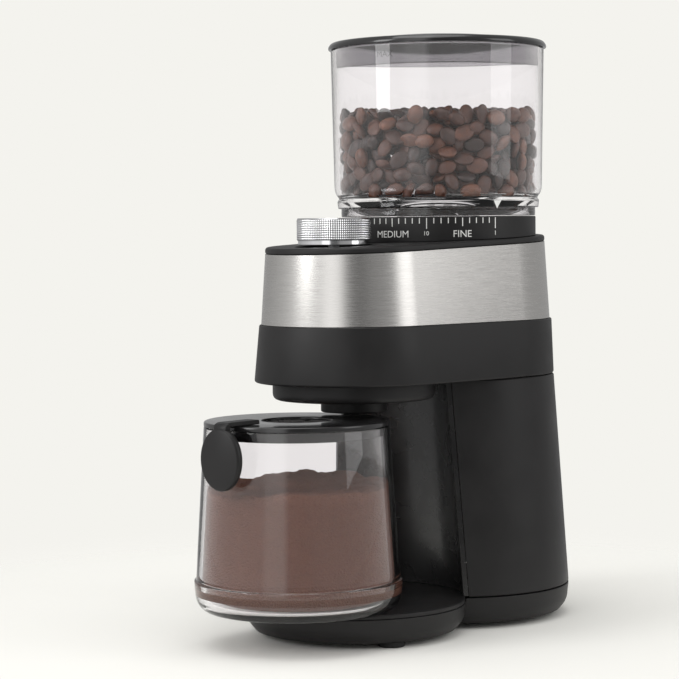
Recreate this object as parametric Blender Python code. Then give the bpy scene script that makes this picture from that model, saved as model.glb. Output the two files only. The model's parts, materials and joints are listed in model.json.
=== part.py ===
"""Conical burr coffee grinder, built as an assembly of separate pieces.

Metres, +Z up. Seen from the front, +X is right and -Y is towards the viewer. The machine
stands on Z = 0 with its box centred on the Z axis. Distances along Y are named from the
hopper's axis, which is also the axis of the burrs: "ahead" is towards -Y, "behind" towards +Y.
"""

import math

import bmesh
import bpy

for old in list(bpy.data.objects):
    bpy.data.objects.remove(old, do_unlink=True)

# ---------------------------------------------------------------- fits
GAP = 0.0003              # between two pieces that touch
RUNNING = 0.0003          # radial play of a turning or sliding piece
SEGMENTS = 32             # round a casing
MID_SEGMENTS = 24         # round a part of middle size
FINE_SEGMENTS = 12        # round a shaft or a small part

# ---------------------------------------------------------------- plan of the machine
FRONT_AXIS = 0.0700       # jar seat, spout and nose of the head, ahead of the hopper's axis
JAR_OUT = 0.0435          # the jar rests drawn forward by this much
KNOB_AHEAD = 0.0843       # knob's axis, ahead of the hopper's axis
HEAD_TOP_REAR = (0.0530, 0.0055)       # radius and distance behind, at the steel band's top
HEAD_MID_REAR = (0.0546, 0.0070)
HEAD_LOW_REAR = (0.0565, 0.0072)
HEAD_TOP_NOSE = 0.0444                 # radius of the nose at the same three levels
HEAD_MID_NOSE = 0.0468
HEAD_LOW_NOSE = 0.0505
TOWER_FOOT = (0.0620, 0.0100)

# ---------------------------------------------------------------- levels
FOOT_HEIGHT = 0.0030
BASE_HEIGHT = 0.0136      # rear of the base, above the feet
TRAY_LEVEL = 0.0175
TOWER_TOP = 0.1280
SHELL_HEIGHT = 0.0290     # black part of the head
STEEL_HEIGHT = 0.0394     # at the hopper's axis
TOP_SLOPE = 0.036         # the top rises towards the back
COVER_THICK = 0.0033
COLLAR_HEIGHT = 0.0112    # above the cover, at the hopper's axis

# ---------------------------------------------------------------- walls
WALL = 0.0025
STEEL_THICK = 0.0010
BAND_PROUD = 0.0010       # the head's black part stands out below the steel band
CLEAR_WALL = 0.0023
FLOOR = 0.0025

# ---------------------------------------------------------------- hopper and collar
HOPPER_RADIUS = 0.0560
HOPPER_FOOT_RADIUS = 0.0546
HOPPER_HEIGHT = 0.0876    # from the top of the collar
NECK_HEIGHT = 0.0043
FLANGE_HEIGHT = 0.0045
COLLAR_RADIUS = 0.0513
THROAT_RADIUS = 0.0196
SKIRT_DROP = 0.0103       # lid's inner ring below the hopper's rim
LID_OVERHANG = 0.0013
LID_RISE = 0.0075
COLLAR_WALL = 0.0038
KEY_RADIUS = 0.0320       # the hopper's two keys turn the adjusting ring
KEY_SIZE = (0.0050, 0.0080)
RING_PLATE = 0.0030
RING_SKIRT = 0.0038
SCALE_TURN = 123.3        # degrees from the finest setting to the coarsest
THREAD_LEAD = 0.0030      # rise of the ring burr in one turn

# ---------------------------------------------------------------- knob
KNOB_RADIUS = 0.0187
KNOB_HEIGHT = 0.0135
KNOB_PRESS = 0.0015
KNOB_RIM = 0.0034         # width of the knob's raised rim round its cap
ENCODER_RADIUS = 0.0075
ENCODER_SHAFT = 0.0030

# ---------------------------------------------------------------- jar
JAR_RING_RADIUS = 0.0515  # widest, above the rounded bowl
JAR_TAPER = 0.0056        # narrower at the rim
JAR_LIFT = 0.0005         # the jar stands this much above the tray
JAR_RING_HEIGHT = 0.0150
JAR_BASE = 0.0032         # thickness of the jar's floor
LID_THICK = 0.0024
LID_PLUG = 0.0050         # depth of the jar lid's ring inside the jar
LID_HOLE = 0.0175
HANDLE_STAND = 0.0101     # front of the paddle from the jar's rim
HANDLE_HALF_WIDTH = 0.0125
HANDLE_HEIGHT = 0.0300
HANDLE_THICK = 0.0038
STRAP_WIDTH = 0.0080
STRAP_THICK = 0.0022
STRAP_START = 0.0310
SEAT_CLEARANCE = 0.0024   # between the jar and the hollow it slides into
LOBE_MARGIN = 0.0045      # front of the base outside the jar

# ---------------------------------------------------------------- spout
SPOUT_RADIUS = 0.0168
SPOUT_WALL = 0.0020
SHROUD_RADIUS = 0.0412
SHROUD_DROP = 0.0090
SPOUT_DROP = 0.0154
SPOUT_CLEARANCE = 0.0013  # between the spout and the jar's lid

# ---------------------------------------------------------------- cord gland
GLAND_Z = 0.0320
GLAND_RADIUS = 0.0080
GLAND_BODY = 0.0054
GLAND_BORE = 0.0034
GLAND_FLANGE = 0.0012

# ---------------------------------------------------------------- drive
MODULE = 0.0010
PINION_TEETH = 14
WHEEL_TEETH = 42
SECOND_TEETH = 18
OUTPUT_TEETH = 38
PRESSURE_ANGLE = math.radians(20)
ADDENDUM = 0.9            # in modules
DEDENDUM = 1.2
BACKLASH = 0.00035
GEAR_WIDTH = 0.0070
LAYER_STEP = 0.0090
SHAFT_RADIUS = 0.0040
AXLE_RADIUS = 0.0030
MOTOR_SHAFT = 0.0025
MOTOR_RADIUS = 0.0290
MOTOR_LENGTH = 0.0660
MOTOR_BELOW = 0.0090      # gap between the gearbox and the motor's can, spanned by the motor's boss
MOTOR_BOSS = 0.0130
CAN_WALL = 0.0014
BUSH_RADIUS = 0.0060
BUSH_LENGTH = 0.0055
COMMUTATOR_RADIUS = 0.0090
GEARBOX_WALL = 0.0022
BEARING_RADIUS = 0.0080

# ---------------------------------------------------------------- burrs
CHAMBER_RADIUS = 0.0345
CHAMBER_WALL = 0.0029
CONE_FOOT = 0.0185
CONE_TOP = 0.0080
BURR_RADIUS = 0.0260
BURR_GAP = 0.0008
SWEEP_HEIGHT = 0.0050
SWEEP_VANES = 6
NUT_RADIUS = 0.0062
NUT_HEIGHT = 0.0036
CHUTE_WALL = 0.0016

# ---------------------------------------------------------------- worked out from the above
GEAR_CENTRES = MODULE * (PINION_TEETH + WHEEL_TEETH) / 2
JAR_TOP_RADIUS = JAR_RING_RADIUS - JAR_TAPER
HANDLE_REACH = JAR_TOP_RADIUS + HANDLE_STAND
JAR_FRONT = FRONT_AXIS + JAR_OUT + HANDLE_REACH

BASE_TOP = FOOT_HEIGHT + BASE_HEIGHT
JAR_LOW = TRAY_LEVEL + JAR_LIFT
JAR_RIM = TOWER_TOP - SPOUT_DROP - SPOUT_CLEARANCE - LID_THICK - GAP
BAND_Z = TOWER_TOP + SHELL_HEIGHT
TOP_Z = BAND_Z + STEEL_HEIGHT
COVER_TOP = TOP_Z + COVER_THICK
COLLAR_TOP = COVER_TOP + COLLAR_HEIGHT
HOPPER_FLOOR = COLLAR_TOP + GAP + NECK_HEIGHT + FLANGE_HEIGHT
HOPPER_RIM = COLLAR_TOP + HOPPER_HEIGHT
GEARBOX_Z = TOWER_TOP + 0.0033
GEAR_Z = GEARBOX_Z + FLOOR + 0.0012
GEARBOX_WALL_TOP = GEAR_Z + LAYER_STEP + GEAR_WIDTH + 0.0012
COVER_PLATE_TOP = GEARBOX_WALL_TOP + GAP + FLOOR
CHAMBER_Z = COVER_PLATE_TOP + GAP
SWEEP_Z = CHAMBER_Z + FLOOR + 0.0023
CONE_Z = SWEEP_Z + SWEEP_HEIGHT + GAP
BURR_TOP = TOP_Z - 0.0024
WINDOW_Z = SWEEP_Z + 0.0040
RING_TOP = COLLAR_TOP - 0.0042
BURR_RISE = THREAD_LEAD * SCALE_TURN / 360
CARRIER_TOP = RING_TOP - RING_PLATE - BURR_RISE - 2 * GAP
KNOB_LOW = COVER_TOP - TOP_SLOPE * (KNOB_AHEAD - KNOB_RADIUS) - GAP
KNOB_WELL = KNOB_LOW - KNOB_PRESS - GAP
RING_SKIRT_RADIUS = CHAMBER_RADIUS + 2 * RUNNING + RING_SKIRT
PINION_REACH = GEAR_CENTRES + MODULE * (PINION_TEETH / 2 + ADDENDUM)
OUTPUT_REACH = MODULE * (OUTPUT_TEETH / 2 + ADDENDUM)
GEARBOX_SHIFT = (PINION_REACH - OUTPUT_REACH) / 2
GEARBOX_NOSE = (PINION_REACH + OUTPUT_REACH) / 2 + GEARBOX_WALL + 2 * GAP


def between(low, high, share):
    return low + (high - low) * share


def tower_radius(z):
    """Radius and distance behind of the tower's outside at height z."""
    share = (z - BASE_TOP) / (TOWER_TOP - BASE_TOP)
    return tuple(between(a, b, share) for a, b in zip(TOWER_FOOT, HEAD_LOW_REAR))


GLAND_FACE = sum(tower_radius(GLAND_Z - GLAND_RADIUS)) + GAP
BACK_REACH = GLAND_FACE + GLAND_FLANGE
HOPPER_Y = (JAR_FRONT - BACK_REACH) / 2
SEAT_Y = HOPPER_Y - FRONT_AXIS
JAR_Y = SEAT_Y - JAR_OUT
KNOB_Y = HOPPER_Y - KNOB_AHEAD
MOTOR_Y = HOPPER_Y + GEAR_CENTRES
IDLER_X = GEAR_CENTRES * math.sin(math.radians(60))
IDLER_Y = HOPPER_Y + GEAR_CENTRES / 2


# ================================================================ materials
def material(name, color, roughness, metallic=0.0, alpha=1.0):
    mat = bpy.data.materials.new(name)
    mat.use_nodes = True
    shader = mat.node_tree.nodes["Principled BSDF"]
    shader.inputs["Base Color"].default_value = (*color, 1.0)
    shader.inputs["Roughness"].default_value = roughness
    shader.inputs["Metallic"].default_value = metallic
    shader.inputs["Alpha"].default_value = alpha
    return mat


BLACK = ("black_plastic", (0.030, 0.029, 0.030), 0.42)
DARK = ("dark_inner_plastic", (0.06, 0.06, 0.065), 0.55)
STEEL = ("brushed_steel", (0.62, 0.61, 0.59), 0.28, 1.0)
CHROME = ("knurled_chrome", (0.75, 0.75, 0.75), 0.15, 1.0)
CLEAR = ("clear_plastic", (0.92, 0.92, 0.94), 0.05, 0.0, 0.3)
SMOKE = ("smoke_plastic", (0.20, 0.19, 0.21), 0.10, 0.0, 0.6)
HARD = ("hardened_steel", (0.45, 0.45, 0.46), 0.35, 1.0)
BRONZE = ("sintered_bronze", (0.55, 0.38, 0.20), 0.45, 1.0)
NYLON = ("nylon", (0.85, 0.83, 0.76), 0.5)
RUBBER = ("rubber", (0.02, 0.02, 0.02), 0.8)
IRON = ("rotor_iron", (0.30, 0.30, 0.31), 0.5, 1.0)
COPPER = ("copper", (0.72, 0.38, 0.22), 0.35, 1.0)
BOARD = ("circuit_board", (0.03, 0.20, 0.08), 0.5)


# ================================================================ mesh helpers
def finish(name, bm, look, at=(0.0, 0.0, 0.0), smooth=30):
    """Makes an object called name from bm, with its origin at the point at."""
    bmesh.ops.recalc_face_normals(bm, faces=bm.faces)
    if bm.calc_volume(signed=True) < 0:
        bmesh.ops.reverse_faces(bm, faces=bm.faces)
    mesh = bpy.data.meshes.new(name)
    bm.to_mesh(mesh)
    bm.free()
    if smooth:
        mesh.shade_smooth()
        mesh.set_sharp_from_angle(angle=math.radians(smooth))
    obj = bpy.data.objects.new(name, mesh)
    obj.location = at
    bpy.context.scene.collection.objects.link(obj)
    if look:
        mesh.materials.append(material(name + "_" + look[0], *look[1:]))
    return obj


def loft(name, rings, look, at=(0.0, 0.0, 0.0), loop=False, smooth=30):
    """Joins rings of equal length; loop joins the last to the first, and otherwise both are capped."""
    bm = bmesh.new()
    rows = [[bm.verts.new(point) for point in ring] for ring in rings]
    count = len(rows[0])
    pairs = list(zip(rows, rows[1:]))
    if loop:
        pairs.append((rows[-1], rows[0]))
    else:
        bm.faces.new(rows[0][::-1])
        bm.faces.new(rows[-1])
    for low, high in pairs:
        for i in range(count):
            j = (i + 1) % count
            bm.faces.new((low[i], low[j], high[j], high[i]))
    return finish(name, bm, look, at, smooth)


def turned(name, profile, look, at=(0.0, 0.0, 0.0), segments=SEGMENTS, smooth=30):
    """Turns a closed outline of (radius, height) about Z; a first or last point may lie on the axis."""
    bm = bmesh.new()
    rows = []
    for radius, height in profile:
        if radius < 1e-7:
            rows.append([bm.verts.new((0.0, 0.0, height))])
        else:
            rows.append([bm.verts.new(p) for p in circle(radius, height, segments)])
    pairs = list(zip(rows, rows[1:]))
    if len(rows[0]) > 1:
        pairs.append((rows[-1], rows[0]))
    for low, high in pairs:
        for i in range(segments):
            j = (i + 1) % segments
            corners = [low[i % len(low)], low[j % len(low)], high[j % len(high)], high[i % len(high)]]
            corners = list(dict.fromkeys(corners))
            if len(corners) > 2:
                bm.faces.new(corners)
    return finish(name, bm, look, at, smooth)


def circle(radius, z, count=SEGMENTS, x=0.0, y=0.0):
    turn = 2 * math.pi / count
    return [(x + radius * math.cos(turn * i), y + radius * math.sin(turn * i), z) for i in range(count)]


def prism(name, outline, low, high, look, at=(0.0, 0.0, 0.0), smooth=0):
    return loft(name, [[(x, y, low) for x, y in outline], [(x, y, high) for x, y in outline]],
                look, at, smooth=smooth)


def block(name, size, look, at):
    """A box of the given size, centred on at."""
    half_x, half_y, half_z = (value / 2 for value in size)
    outline = [(-half_x, -half_y), (half_x, -half_y), (half_x, half_y), (-half_x, half_y)]
    return prism(name, outline, -half_z, half_z, look, at)


def hull(near, far, z, count=SEGMENTS, slope=0.0, spin=0.0):
    """A ring round two circles (radius, distance behind), one ahead of the other, at height z.

    spin turns the pair about the first circle's centre; slope lifts the ring towards the back.
    """
    (r_near, y_near), (r_far, y_far) = near, far
    spread = math.asin((r_far - r_near) / (y_far - y_near))
    half = count // 2
    points = []
    for i in range(half):
        angle = -spread + (math.pi + 2 * spread) * i / (half - 1)
        points.append((r_far * math.cos(angle), y_far + r_far * math.sin(angle)))
    for i in range(half):
        angle = math.pi + spread + (math.pi - 2 * spread) * i / (half - 1)
        points.append((r_near * math.cos(angle), y_near + r_near * math.sin(angle)))
    cos, sin = math.cos(spin), math.sin(spin)
    spun = [(x * cos - (y - y_near) * sin, y_near + x * sin + (y - y_near) * cos) for x, y in points]
    return [(x, y, z + slope * y) for x, y in spun]


def guide(obj):
    """Marks obj as a cutter, which isn't part of the grinder."""
    obj.hide_render = True
    obj.display_type = "WIRE"
    return obj


def combine(target, other, operation="DIFFERENCE"):
    guide(other)
    step = target.modifiers.new(operation.lower() + "_" + other.name, "BOOLEAN")
    step.operation = operation
    step.solver = "EXACT"
    step.object = other
    return target


def drill(target, radius, low, high, x=0.0, y=0.0, segments=FINE_SEGMENTS):
    """Cuts an upright hole at (x, y) from low to high."""
    name = f"hole_{target.name}_{len(target.modifiers)}"
    tool = turned(name, [(0, high), (radius, high), (radius, low), (0, low)], None, (x, y, 0), segments)
    return combine(target, tool)


# ================================================================ casing
def seat_radius(z):
    """Inside radius of the hollow that holds the jar, at height z."""
    taper = JAR_TAPER / (JAR_RIM - JAR_LOW - JAR_RING_HEIGHT)
    ring_z = TRAY_LEVEL + JAR_RING_HEIGHT
    return JAR_RING_RADIUS + SEAT_CLEARANCE - taper * (z - ring_z)


def seat_cone(name, offset, low, high):
    return turned(name, [(0, high), (seat_radius(high) + offset, high),
                         (seat_radius(low) + offset, low), (0, low)], None, (0, SEAT_Y, 0))


def build_tower():
    low, high = BASE_TOP + 2 * GAP, TOWER_TOP - GAP
    rings = []
    for z, inset in ((low, 0), (high, 0), (high, WALL), (low, WALL)):
        radius, behind = tower_radius(z)
        rings.append(circle(radius - inset, z, SEGMENTS, y=behind))
    housing = loft("rear_housing", rings, BLACK, (0, HOPPER_Y, 0), loop=True)
    combine(housing, seat_cone("seat_cut", WALL + GAP, low - 0.01, high + 0.01))
    hole = GLAND_BODY + 2 * GAP
    gland_hole = turned("gland_cut", [(0, 0.02), (hole, 0.02), (hole, -0.02), (0, -0.02)],
                        None, (0, HOPPER_Y + GLAND_FACE, GLAND_Z), FINE_SEGMENTS)
    gland_hole.rotation_euler = (math.radians(90), 0, 0)
    combine(housing, gland_hole)

    panel_low = TRAY_LEVEL + GAP
    profile = [(seat_radius(panel_low) + WALL, panel_low), (seat_radius(high) + WALL, high),
               (seat_radius(high), high), (seat_radius(panel_low), panel_low)]
    panel = turned("cradle_panel", profile, BLACK, (0, SEAT_Y, 0))
    keep_low, keep_high = panel_low - 0.005, high + 0.005
    rings = []
    for z in (keep_low, keep_high):
        radius, behind = tower_radius(z)
        rings.append(circle(radius, z, SEGMENTS, y=behind))
    combine(panel, loft("tower_guide", rings, None, (0, HOPPER_Y, 0)), "INTERSECT")


def build_gland():
    profile = [(GLAND_BORE, GLAND_FLANGE), (GLAND_RADIUS, GLAND_FLANGE), (GLAND_RADIUS, 0), (GLAND_BODY, 0),
               (GLAND_BODY, -0.0090), (GLAND_BORE, -0.0090)]
    gland = turned("cord_gland", profile, RUBBER, (0, HOPPER_Y + GLAND_FACE, GLAND_Z), FINE_SEGMENTS)
    gland.rotation_euler = (math.radians(-90), 0, 0)


def head_ring(rear, nose, inset, z, slope=0.0):
    return hull((nose - inset, -FRONT_AXIS), (rear[0] - inset, rear[1]), z, slope=slope)


def build_head():
    step = STEEL_THICK + 0.0008
    inside = step + 0.0018
    top = TOP_Z - GAP
    rings = [
        head_ring(HEAD_LOW_REAR, HEAD_LOW_NOSE, 0, TOWER_TOP),
        head_ring(HEAD_MID_REAR, HEAD_MID_NOSE, -BAND_PROUD, BAND_Z),
        head_ring(HEAD_MID_REAR, HEAD_MID_NOSE, step, BAND_Z),
        head_ring(HEAD_TOP_REAR, HEAD_TOP_NOSE, step, top, TOP_SLOPE),
        head_ring(HEAD_TOP_REAR, HEAD_TOP_NOSE, inside, top, TOP_SLOPE),
        head_ring(HEAD_MID_REAR, HEAD_MID_NOSE, inside, BAND_Z),
        head_ring(HEAD_LOW_REAR, HEAD_LOW_NOSE, WALL, TOWER_TOP),
    ]
    loft("head_shell", rings, BLACK, (0, HOPPER_Y, 0), loop=True)

    low = BAND_Z + GAP
    rings = [
        head_ring(HEAD_MID_REAR, HEAD_MID_NOSE, 0, low),
        head_ring(HEAD_TOP_REAR, HEAD_TOP_NOSE, 0, TOP_Z, TOP_SLOPE),
        head_ring(HEAD_TOP_REAR, HEAD_TOP_NOSE, STEEL_THICK, TOP_Z, TOP_SLOPE),
        head_ring(HEAD_MID_REAR, HEAD_MID_NOSE, STEEL_THICK, low),
    ]
    loft("steel_band", rings, STEEL, (0, HOPPER_Y, 0), loop=True)


def build_top_cover():
    rings = []
    for inset, height in ((0, GAP), (0, 0.0024), (0.0009, COVER_THICK)):
        rings.append(head_ring(HEAD_TOP_REAR, HEAD_TOP_NOSE, inset, TOP_Z + height, TOP_SLOPE))
    cover = loft("top_cover", rings, BLACK, (0, HOPPER_Y, 0))
    drill(cover, RING_SKIRT_RADIUS + 0.0015, TOP_Z - 0.01, COVER_TOP + 0.01, 0, HOPPER_Y, SEGMENTS)
    drill(cover, KNOB_RADIUS + 0.0009, KNOB_WELL, COVER_TOP + 0.01, 0, KNOB_Y, SEGMENTS)
    drill(cover, ENCODER_SHAFT + 0.0008, TOP_Z - 0.02, COVER_TOP + 0.01, 0, KNOB_Y)


def build_collar():
    inner = COLLAR_RADIUS - COLLAR_WALL
    low = COVER_TOP + GAP
    rings = []
    for radius, z, slope in ((COLLAR_RADIUS, low, TOP_SLOPE), (COLLAR_RADIUS, COLLAR_TOP - 0.0004, 0),
                             (COLLAR_RADIUS - 0.0004, COLLAR_TOP, 0), (inner, COLLAR_TOP, 0),
                             (inner, low, TOP_SLOPE)):
        rings.append([(x, y, z + slope * y) for x, y, z in circle(radius, z)])
    loft("scale_collar", rings, BLACK, (0, HOPPER_Y, 0), loop=True)


def build_underside():
    """The head's floor ahead of the tower, and the round shroud and spout that stand down from it."""
    low, high = TOWER_TOP + 0.0004, TOWER_TOP + 0.0028
    inset = WALL + 0.0010
    plate = loft("head_bottom", [head_ring(HEAD_LOW_REAR, HEAD_LOW_NOSE, inset, low),
                                 head_ring(HEAD_LOW_REAR, HEAD_LOW_NOSE, inset, high)],
                 DARK, (0, HOPPER_Y, 0))
    back = -FRONT_AXIS + seat_radius(TOWER_TOP) + 0.0030
    tool = block("head_bottom_cut", (0.3, 0.2, 0.02), None, (0, HOPPER_Y + back + 0.1, TOWER_TOP))
    combine(plate, tool)
    hole = SPOUT_RADIUS + 0.0005
    drill(plate, hole, low - 0.01, high + 0.01, 0, SEAT_Y, MID_SEGMENTS)

    shroud_low = TOWER_TOP - SHROUD_DROP
    top = low - GAP
    profile = [(SHROUD_RADIUS, top), (SHROUD_RADIUS, shroud_low + 0.0016),
               (SHROUD_RADIUS - 0.0022, shroud_low),
               (hole, shroud_low), (hole, shroud_low + 0.0020),
               (SHROUD_RADIUS - WALL, shroud_low + 0.0020), (SHROUD_RADIUS - WALL, top)]
    turned("spout_shroud", profile, BLACK, (0, SEAT_Y, 0), MID_SEGMENTS)

    flange = high + GAP
    bore = SPOUT_RADIUS - SPOUT_WALL
    profile = [(bore, TOWER_TOP - SPOUT_DROP), (SPOUT_RADIUS, TOWER_TOP - SPOUT_DROP),
               (SPOUT_RADIUS, flange), (SPOUT_RADIUS + 0.0040, flange),
               (SPOUT_RADIUS + 0.0040, flange + 0.0020), (bore, flange + 0.0020)]
    turned("outlet_spout", profile, BLACK, (0, SEAT_Y, 0), MID_SEGMENTS)
    return flange + 0.0020 + GAP


def build_base():
    foot_radius, behind = TOWER_FOOT
    lobe = JAR_RING_RADIUS + LOBE_MARGIN
    lobe_top = TRAY_LEVEL - 0.0020 - GAP
    low = FOOT_HEIGHT

    def dish(radius, top):
        return [(0, top), (radius, top), (radius - 0.0008, low + 0.0046), (radius - 0.0022, low + 0.0018),
                (radius - 0.0045, low), (0, low)]

    pan = turned("base_pan", dish(foot_radius, BASE_TOP), BLACK, (0, HOPPER_Y + behind, 0))
    combine(pan, turned("lobe_add", dish(lobe, lobe_top), None, (0, SEAT_Y, 0)), "UNION")
    inside = foot_radius - WALL
    combine(pan, turned("pan_cut", [(0, 0.03), (inside, 0.03), (inside, low + 0.008),
                                    (inside - 0.004, low + FLOOR), (0, low + FLOOR)],
                        None, (0, HOPPER_Y + behind, 0)))
    inside = lobe - WALL
    rim = lobe + GAP
    combine(pan, turned("lobe_cut", [(0, 0.03), (rim, 0.03), (rim, lobe_top), (inside, lobe_top),
                                     (inside, low + 0.008), (inside - 0.004, low + FLOOR),
                                     (0, low + FLOOR)], None, (0, SEAT_Y, 0)))

    tray_low = lobe_top + GAP
    turned("jar_tray", [(0, TRAY_LEVEL), (lobe - 0.0010, TRAY_LEVEL), (lobe - 0.0003, TRAY_LEVEL - 0.0005),
                        (lobe - 0.0003, tray_low), (0, tray_low)], BLACK, (0, SEAT_Y, 0))

    front, rear = SEAT_Y - 0.020, HOPPER_Y + 0.040
    spots = {"foot_front_left": (-0.040, front), "foot_front_right": (0.040, front),
             "foot_rear_left": (-0.038, rear), "foot_rear_right": (0.038, rear)}
    for name, (x, y) in spots.items():
        turned(name, [(0, low - GAP), (0.0065, low - GAP), (0.0065, 0.0004), (0.0061, 0), (0, 0)],
               RUBBER, (x, y, 0), FINE_SEGMENTS)


# ================================================================ hopper
def build_hopper():
    low = COLLAR_TOP + GAP
    flange_low = low + NECK_HEIGHT
    floor = HOPPER_FLOOR
    rim = HOPPER_RIM
    foot = HOPPER_FOOT_RADIUS
    throat = THROAT_RADIUS
    throat_low = RING_TOP - 0.0022
    under = flange_low + 0.0006
    profile = [
        (HOPPER_RADIUS, rim), (foot, floor + 0.0060), (foot - 0.0007, floor + 0.0030),
        (foot - 0.0022, floor + 0.0010), (foot - 0.0014, floor - 0.0006), (foot - 0.0018, flange_low),
        (COLLAR_RADIUS - 0.0002, flange_low), (COLLAR_RADIUS - 0.0002, low),
        (COLLAR_RADIUS - 0.0024, low), (COLLAR_RADIUS - 0.0028, under),
        (throat + CLEAR_WALL, under - 0.0040), (throat + CLEAR_WALL, throat_low), (throat, throat_low),
        (throat, under - 0.0012), (foot - 0.0080, floor + 0.0006),
        (foot - CLEAR_WALL - 0.0012, floor + 0.0024), (foot - CLEAR_WALL, floor + 0.0060),
        (HOPPER_RADIUS - CLEAR_WALL, rim),
    ]
    hopper = turned("hopper", profile, CLEAR, (0, HOPPER_Y, 0))
    key_low, key_high = RING_TOP - 0.0020, under - 0.0010
    for i, side in enumerate((-1, 1)):
        key = block(f"hopper_key_{i}", (*KEY_SIZE, key_high - key_low), None,
                    (side * KEY_RADIUS, HOPPER_Y, (key_high + key_low) / 2))
        combine(hopper, key, "UNION")

    top = rim + GAP
    edge = HOPPER_RADIUS + LID_OVERHANG
    dome = [(edge * share, top + 0.0024 + (LID_RISE - 0.0024) * (1 - share ** 2.0))
            for share in (0.0, 0.3, 0.6, 0.85)]
    inside = HOPPER_RADIUS - CLEAR_WALL
    profile = dome + [(edge - 0.0008, top + 0.0026), (edge, top + 0.0016), (edge, top), (inside, top),
                      (inside, top + 0.0012), (edge * 0.6, top + 0.0034), (0, top + 0.0050)]
    turned("hopper_lid", profile, BLACK, (0, HOPPER_Y, 0))

    outer = inside - 0.0006
    inner = outer - 0.0018
    skirt_high, skirt_low = top + 0.0008, rim - SKIRT_DROP
    turned("lid_skirt", [(outer, skirt_high), (outer, skirt_low), (inner, skirt_low), (inner, skirt_high)],
           SMOKE, (0, HOPPER_Y, 0))


def build_adjusting_ring():
    """The cap that the hopper's keys turn; its skirt runs on the chamber and lifts the ring burr."""
    skirt = RING_SKIRT_RADIUS
    plate_low = RING_TOP - RING_PLATE
    skirt_low = TOP_Z - 0.0100
    bore = THROAT_RADIUS + CLEAR_WALL + 0.0012
    rim = COLLAR_RADIUS - COLLAR_WALL - 0.0020
    run = skirt - RING_SKIRT
    profile = [(bore, RING_TOP), (rim, RING_TOP), (rim, plate_low), (skirt, plate_low), (skirt, skirt_low),
               (run, skirt_low), (run, plate_low), (bore, plate_low)]
    ring = turned("adjusting_ring", profile, DARK, (0, HOPPER_Y, 0), MID_SEGMENTS)
    for i, side in enumerate((-1, 1)):
        notch = block(f"ring_notch_{i}", [size + 4 * GAP for size in KEY_SIZE] + [0.02], None,
                      (side * KEY_RADIUS, HOPPER_Y, RING_TOP - 0.0010))
        combine(ring, notch)


# ================================================================ knob
def build_knob():
    low = KNOB_LOW
    top = low + KNOB_HEIGHT
    r = KNOB_RADIUS
    hub = low + 0.0012
    bore_top = top - 0.0034
    bore = ENCODER_SHAFT + GAP
    profile = [(0, top - 0.0014), (r - KNOB_RIM, top - 0.0014), (r - KNOB_RIM, top), (r - 0.0006, top),
               (r, top - 0.0007), (r, low + 0.0024), (r - 0.0008, low + 0.0024), (r - 0.0008, low),
               (r - 0.0032, low), (r - 0.0032, top - 0.0055), (0.0062, top - 0.0055), (0.0062, hub),
               (bore, hub), (bore, bore_top), (0, bore_top)]
    at = (0, KNOB_Y, 0)
    turned("dial_knob", profile, CHROME, at)
    cap = r - KNOB_RIM - GAP
    seat = top - 0.0014 + GAP
    turned("knob_cap", [(0, top + 0.0001), (cap - 0.0010, top), (cap, top - 0.0005), (cap, seat), (0, seat)],
           CHROME, at, MID_SEGMENTS)
    body_top = TOP_Z - TOP_SLOPE * (KNOB_AHEAD + ENCODER_RADIUS) - GAP
    shaft_low = body_top - 0.0065
    shaft_high = bore_top - GAP
    turned("encoder_shaft", [(0, shaft_high), (ENCODER_SHAFT, shaft_high), (ENCODER_SHAFT, shaft_low),
                             (0, shaft_low)], HARD, at, FINE_SEGMENTS)
    floor = shaft_low - KNOB_PRESS - 0.0005
    ceiling = floor + 0.0050
    bore = ENCODER_SHAFT + RUNNING
    drum = ENCODER_RADIUS - 0.0016
    turned("encoder_body", [(0, floor), (drum, floor), (drum, ceiling), (bore, ceiling), (bore, body_top),
                            (ENCODER_RADIUS, body_top), (ENCODER_RADIUS, floor - 0.0020),
                            (0, floor - 0.0020)], DARK, at, FINE_SEGMENTS)
    high, low, outer = ceiling - GAP, floor + 0.0020, drum - RUNNING
    turned("encoder_rotor", [(bore, high), (outer, high), (outer, low), (bore, low)],
           NYLON, at, FINE_SEGMENTS)


# ================================================================ jar
def build_jar():
    low, rim = JAR_LOW, JAR_RIM
    ring = low + JAR_RING_HEIGHT
    r_ring, r_top, wall = JAR_RING_RADIUS, JAR_TOP_RADIUS, CLEAR_WALL
    inner = r_ring - wall
    profile = [
        (0, low), (r_ring - 0.0060, low), (r_ring - 0.0030, low + 0.0010), (r_ring - 0.0012, low + 0.0032),
        (r_ring, ring - 0.0020), (r_ring, ring - 0.0004), (r_ring - 0.0005, ring), (r_top, rim),
        (r_top - wall, rim), (inner - 0.0008, ring + 0.0010), (inner - 0.0012, ring - 0.0060),
        (inner - 0.0040, low + 0.0042), (inner - 0.0090, low + JAR_BASE), (0, low + JAR_BASE),
    ]
    at = (0, JAR_Y, 0)
    turned("jar", profile, CLEAR, at)

    plug = r_top - wall - 0.0005
    base = rim + GAP
    top = base + LID_THICK
    profile = [(LID_HOLE, top), (r_top - 0.0008, top), (r_top, top - 0.0008), (r_top, base),
               (plug, base), (plug, rim - LID_PLUG), (plug - 0.0016, rim - LID_PLUG),
               (plug - 0.0016, base), (LID_HOLE, base)]
    turned("jar_lid", profile, BLACK, at)
    build_handle(top + GAP)


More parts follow.
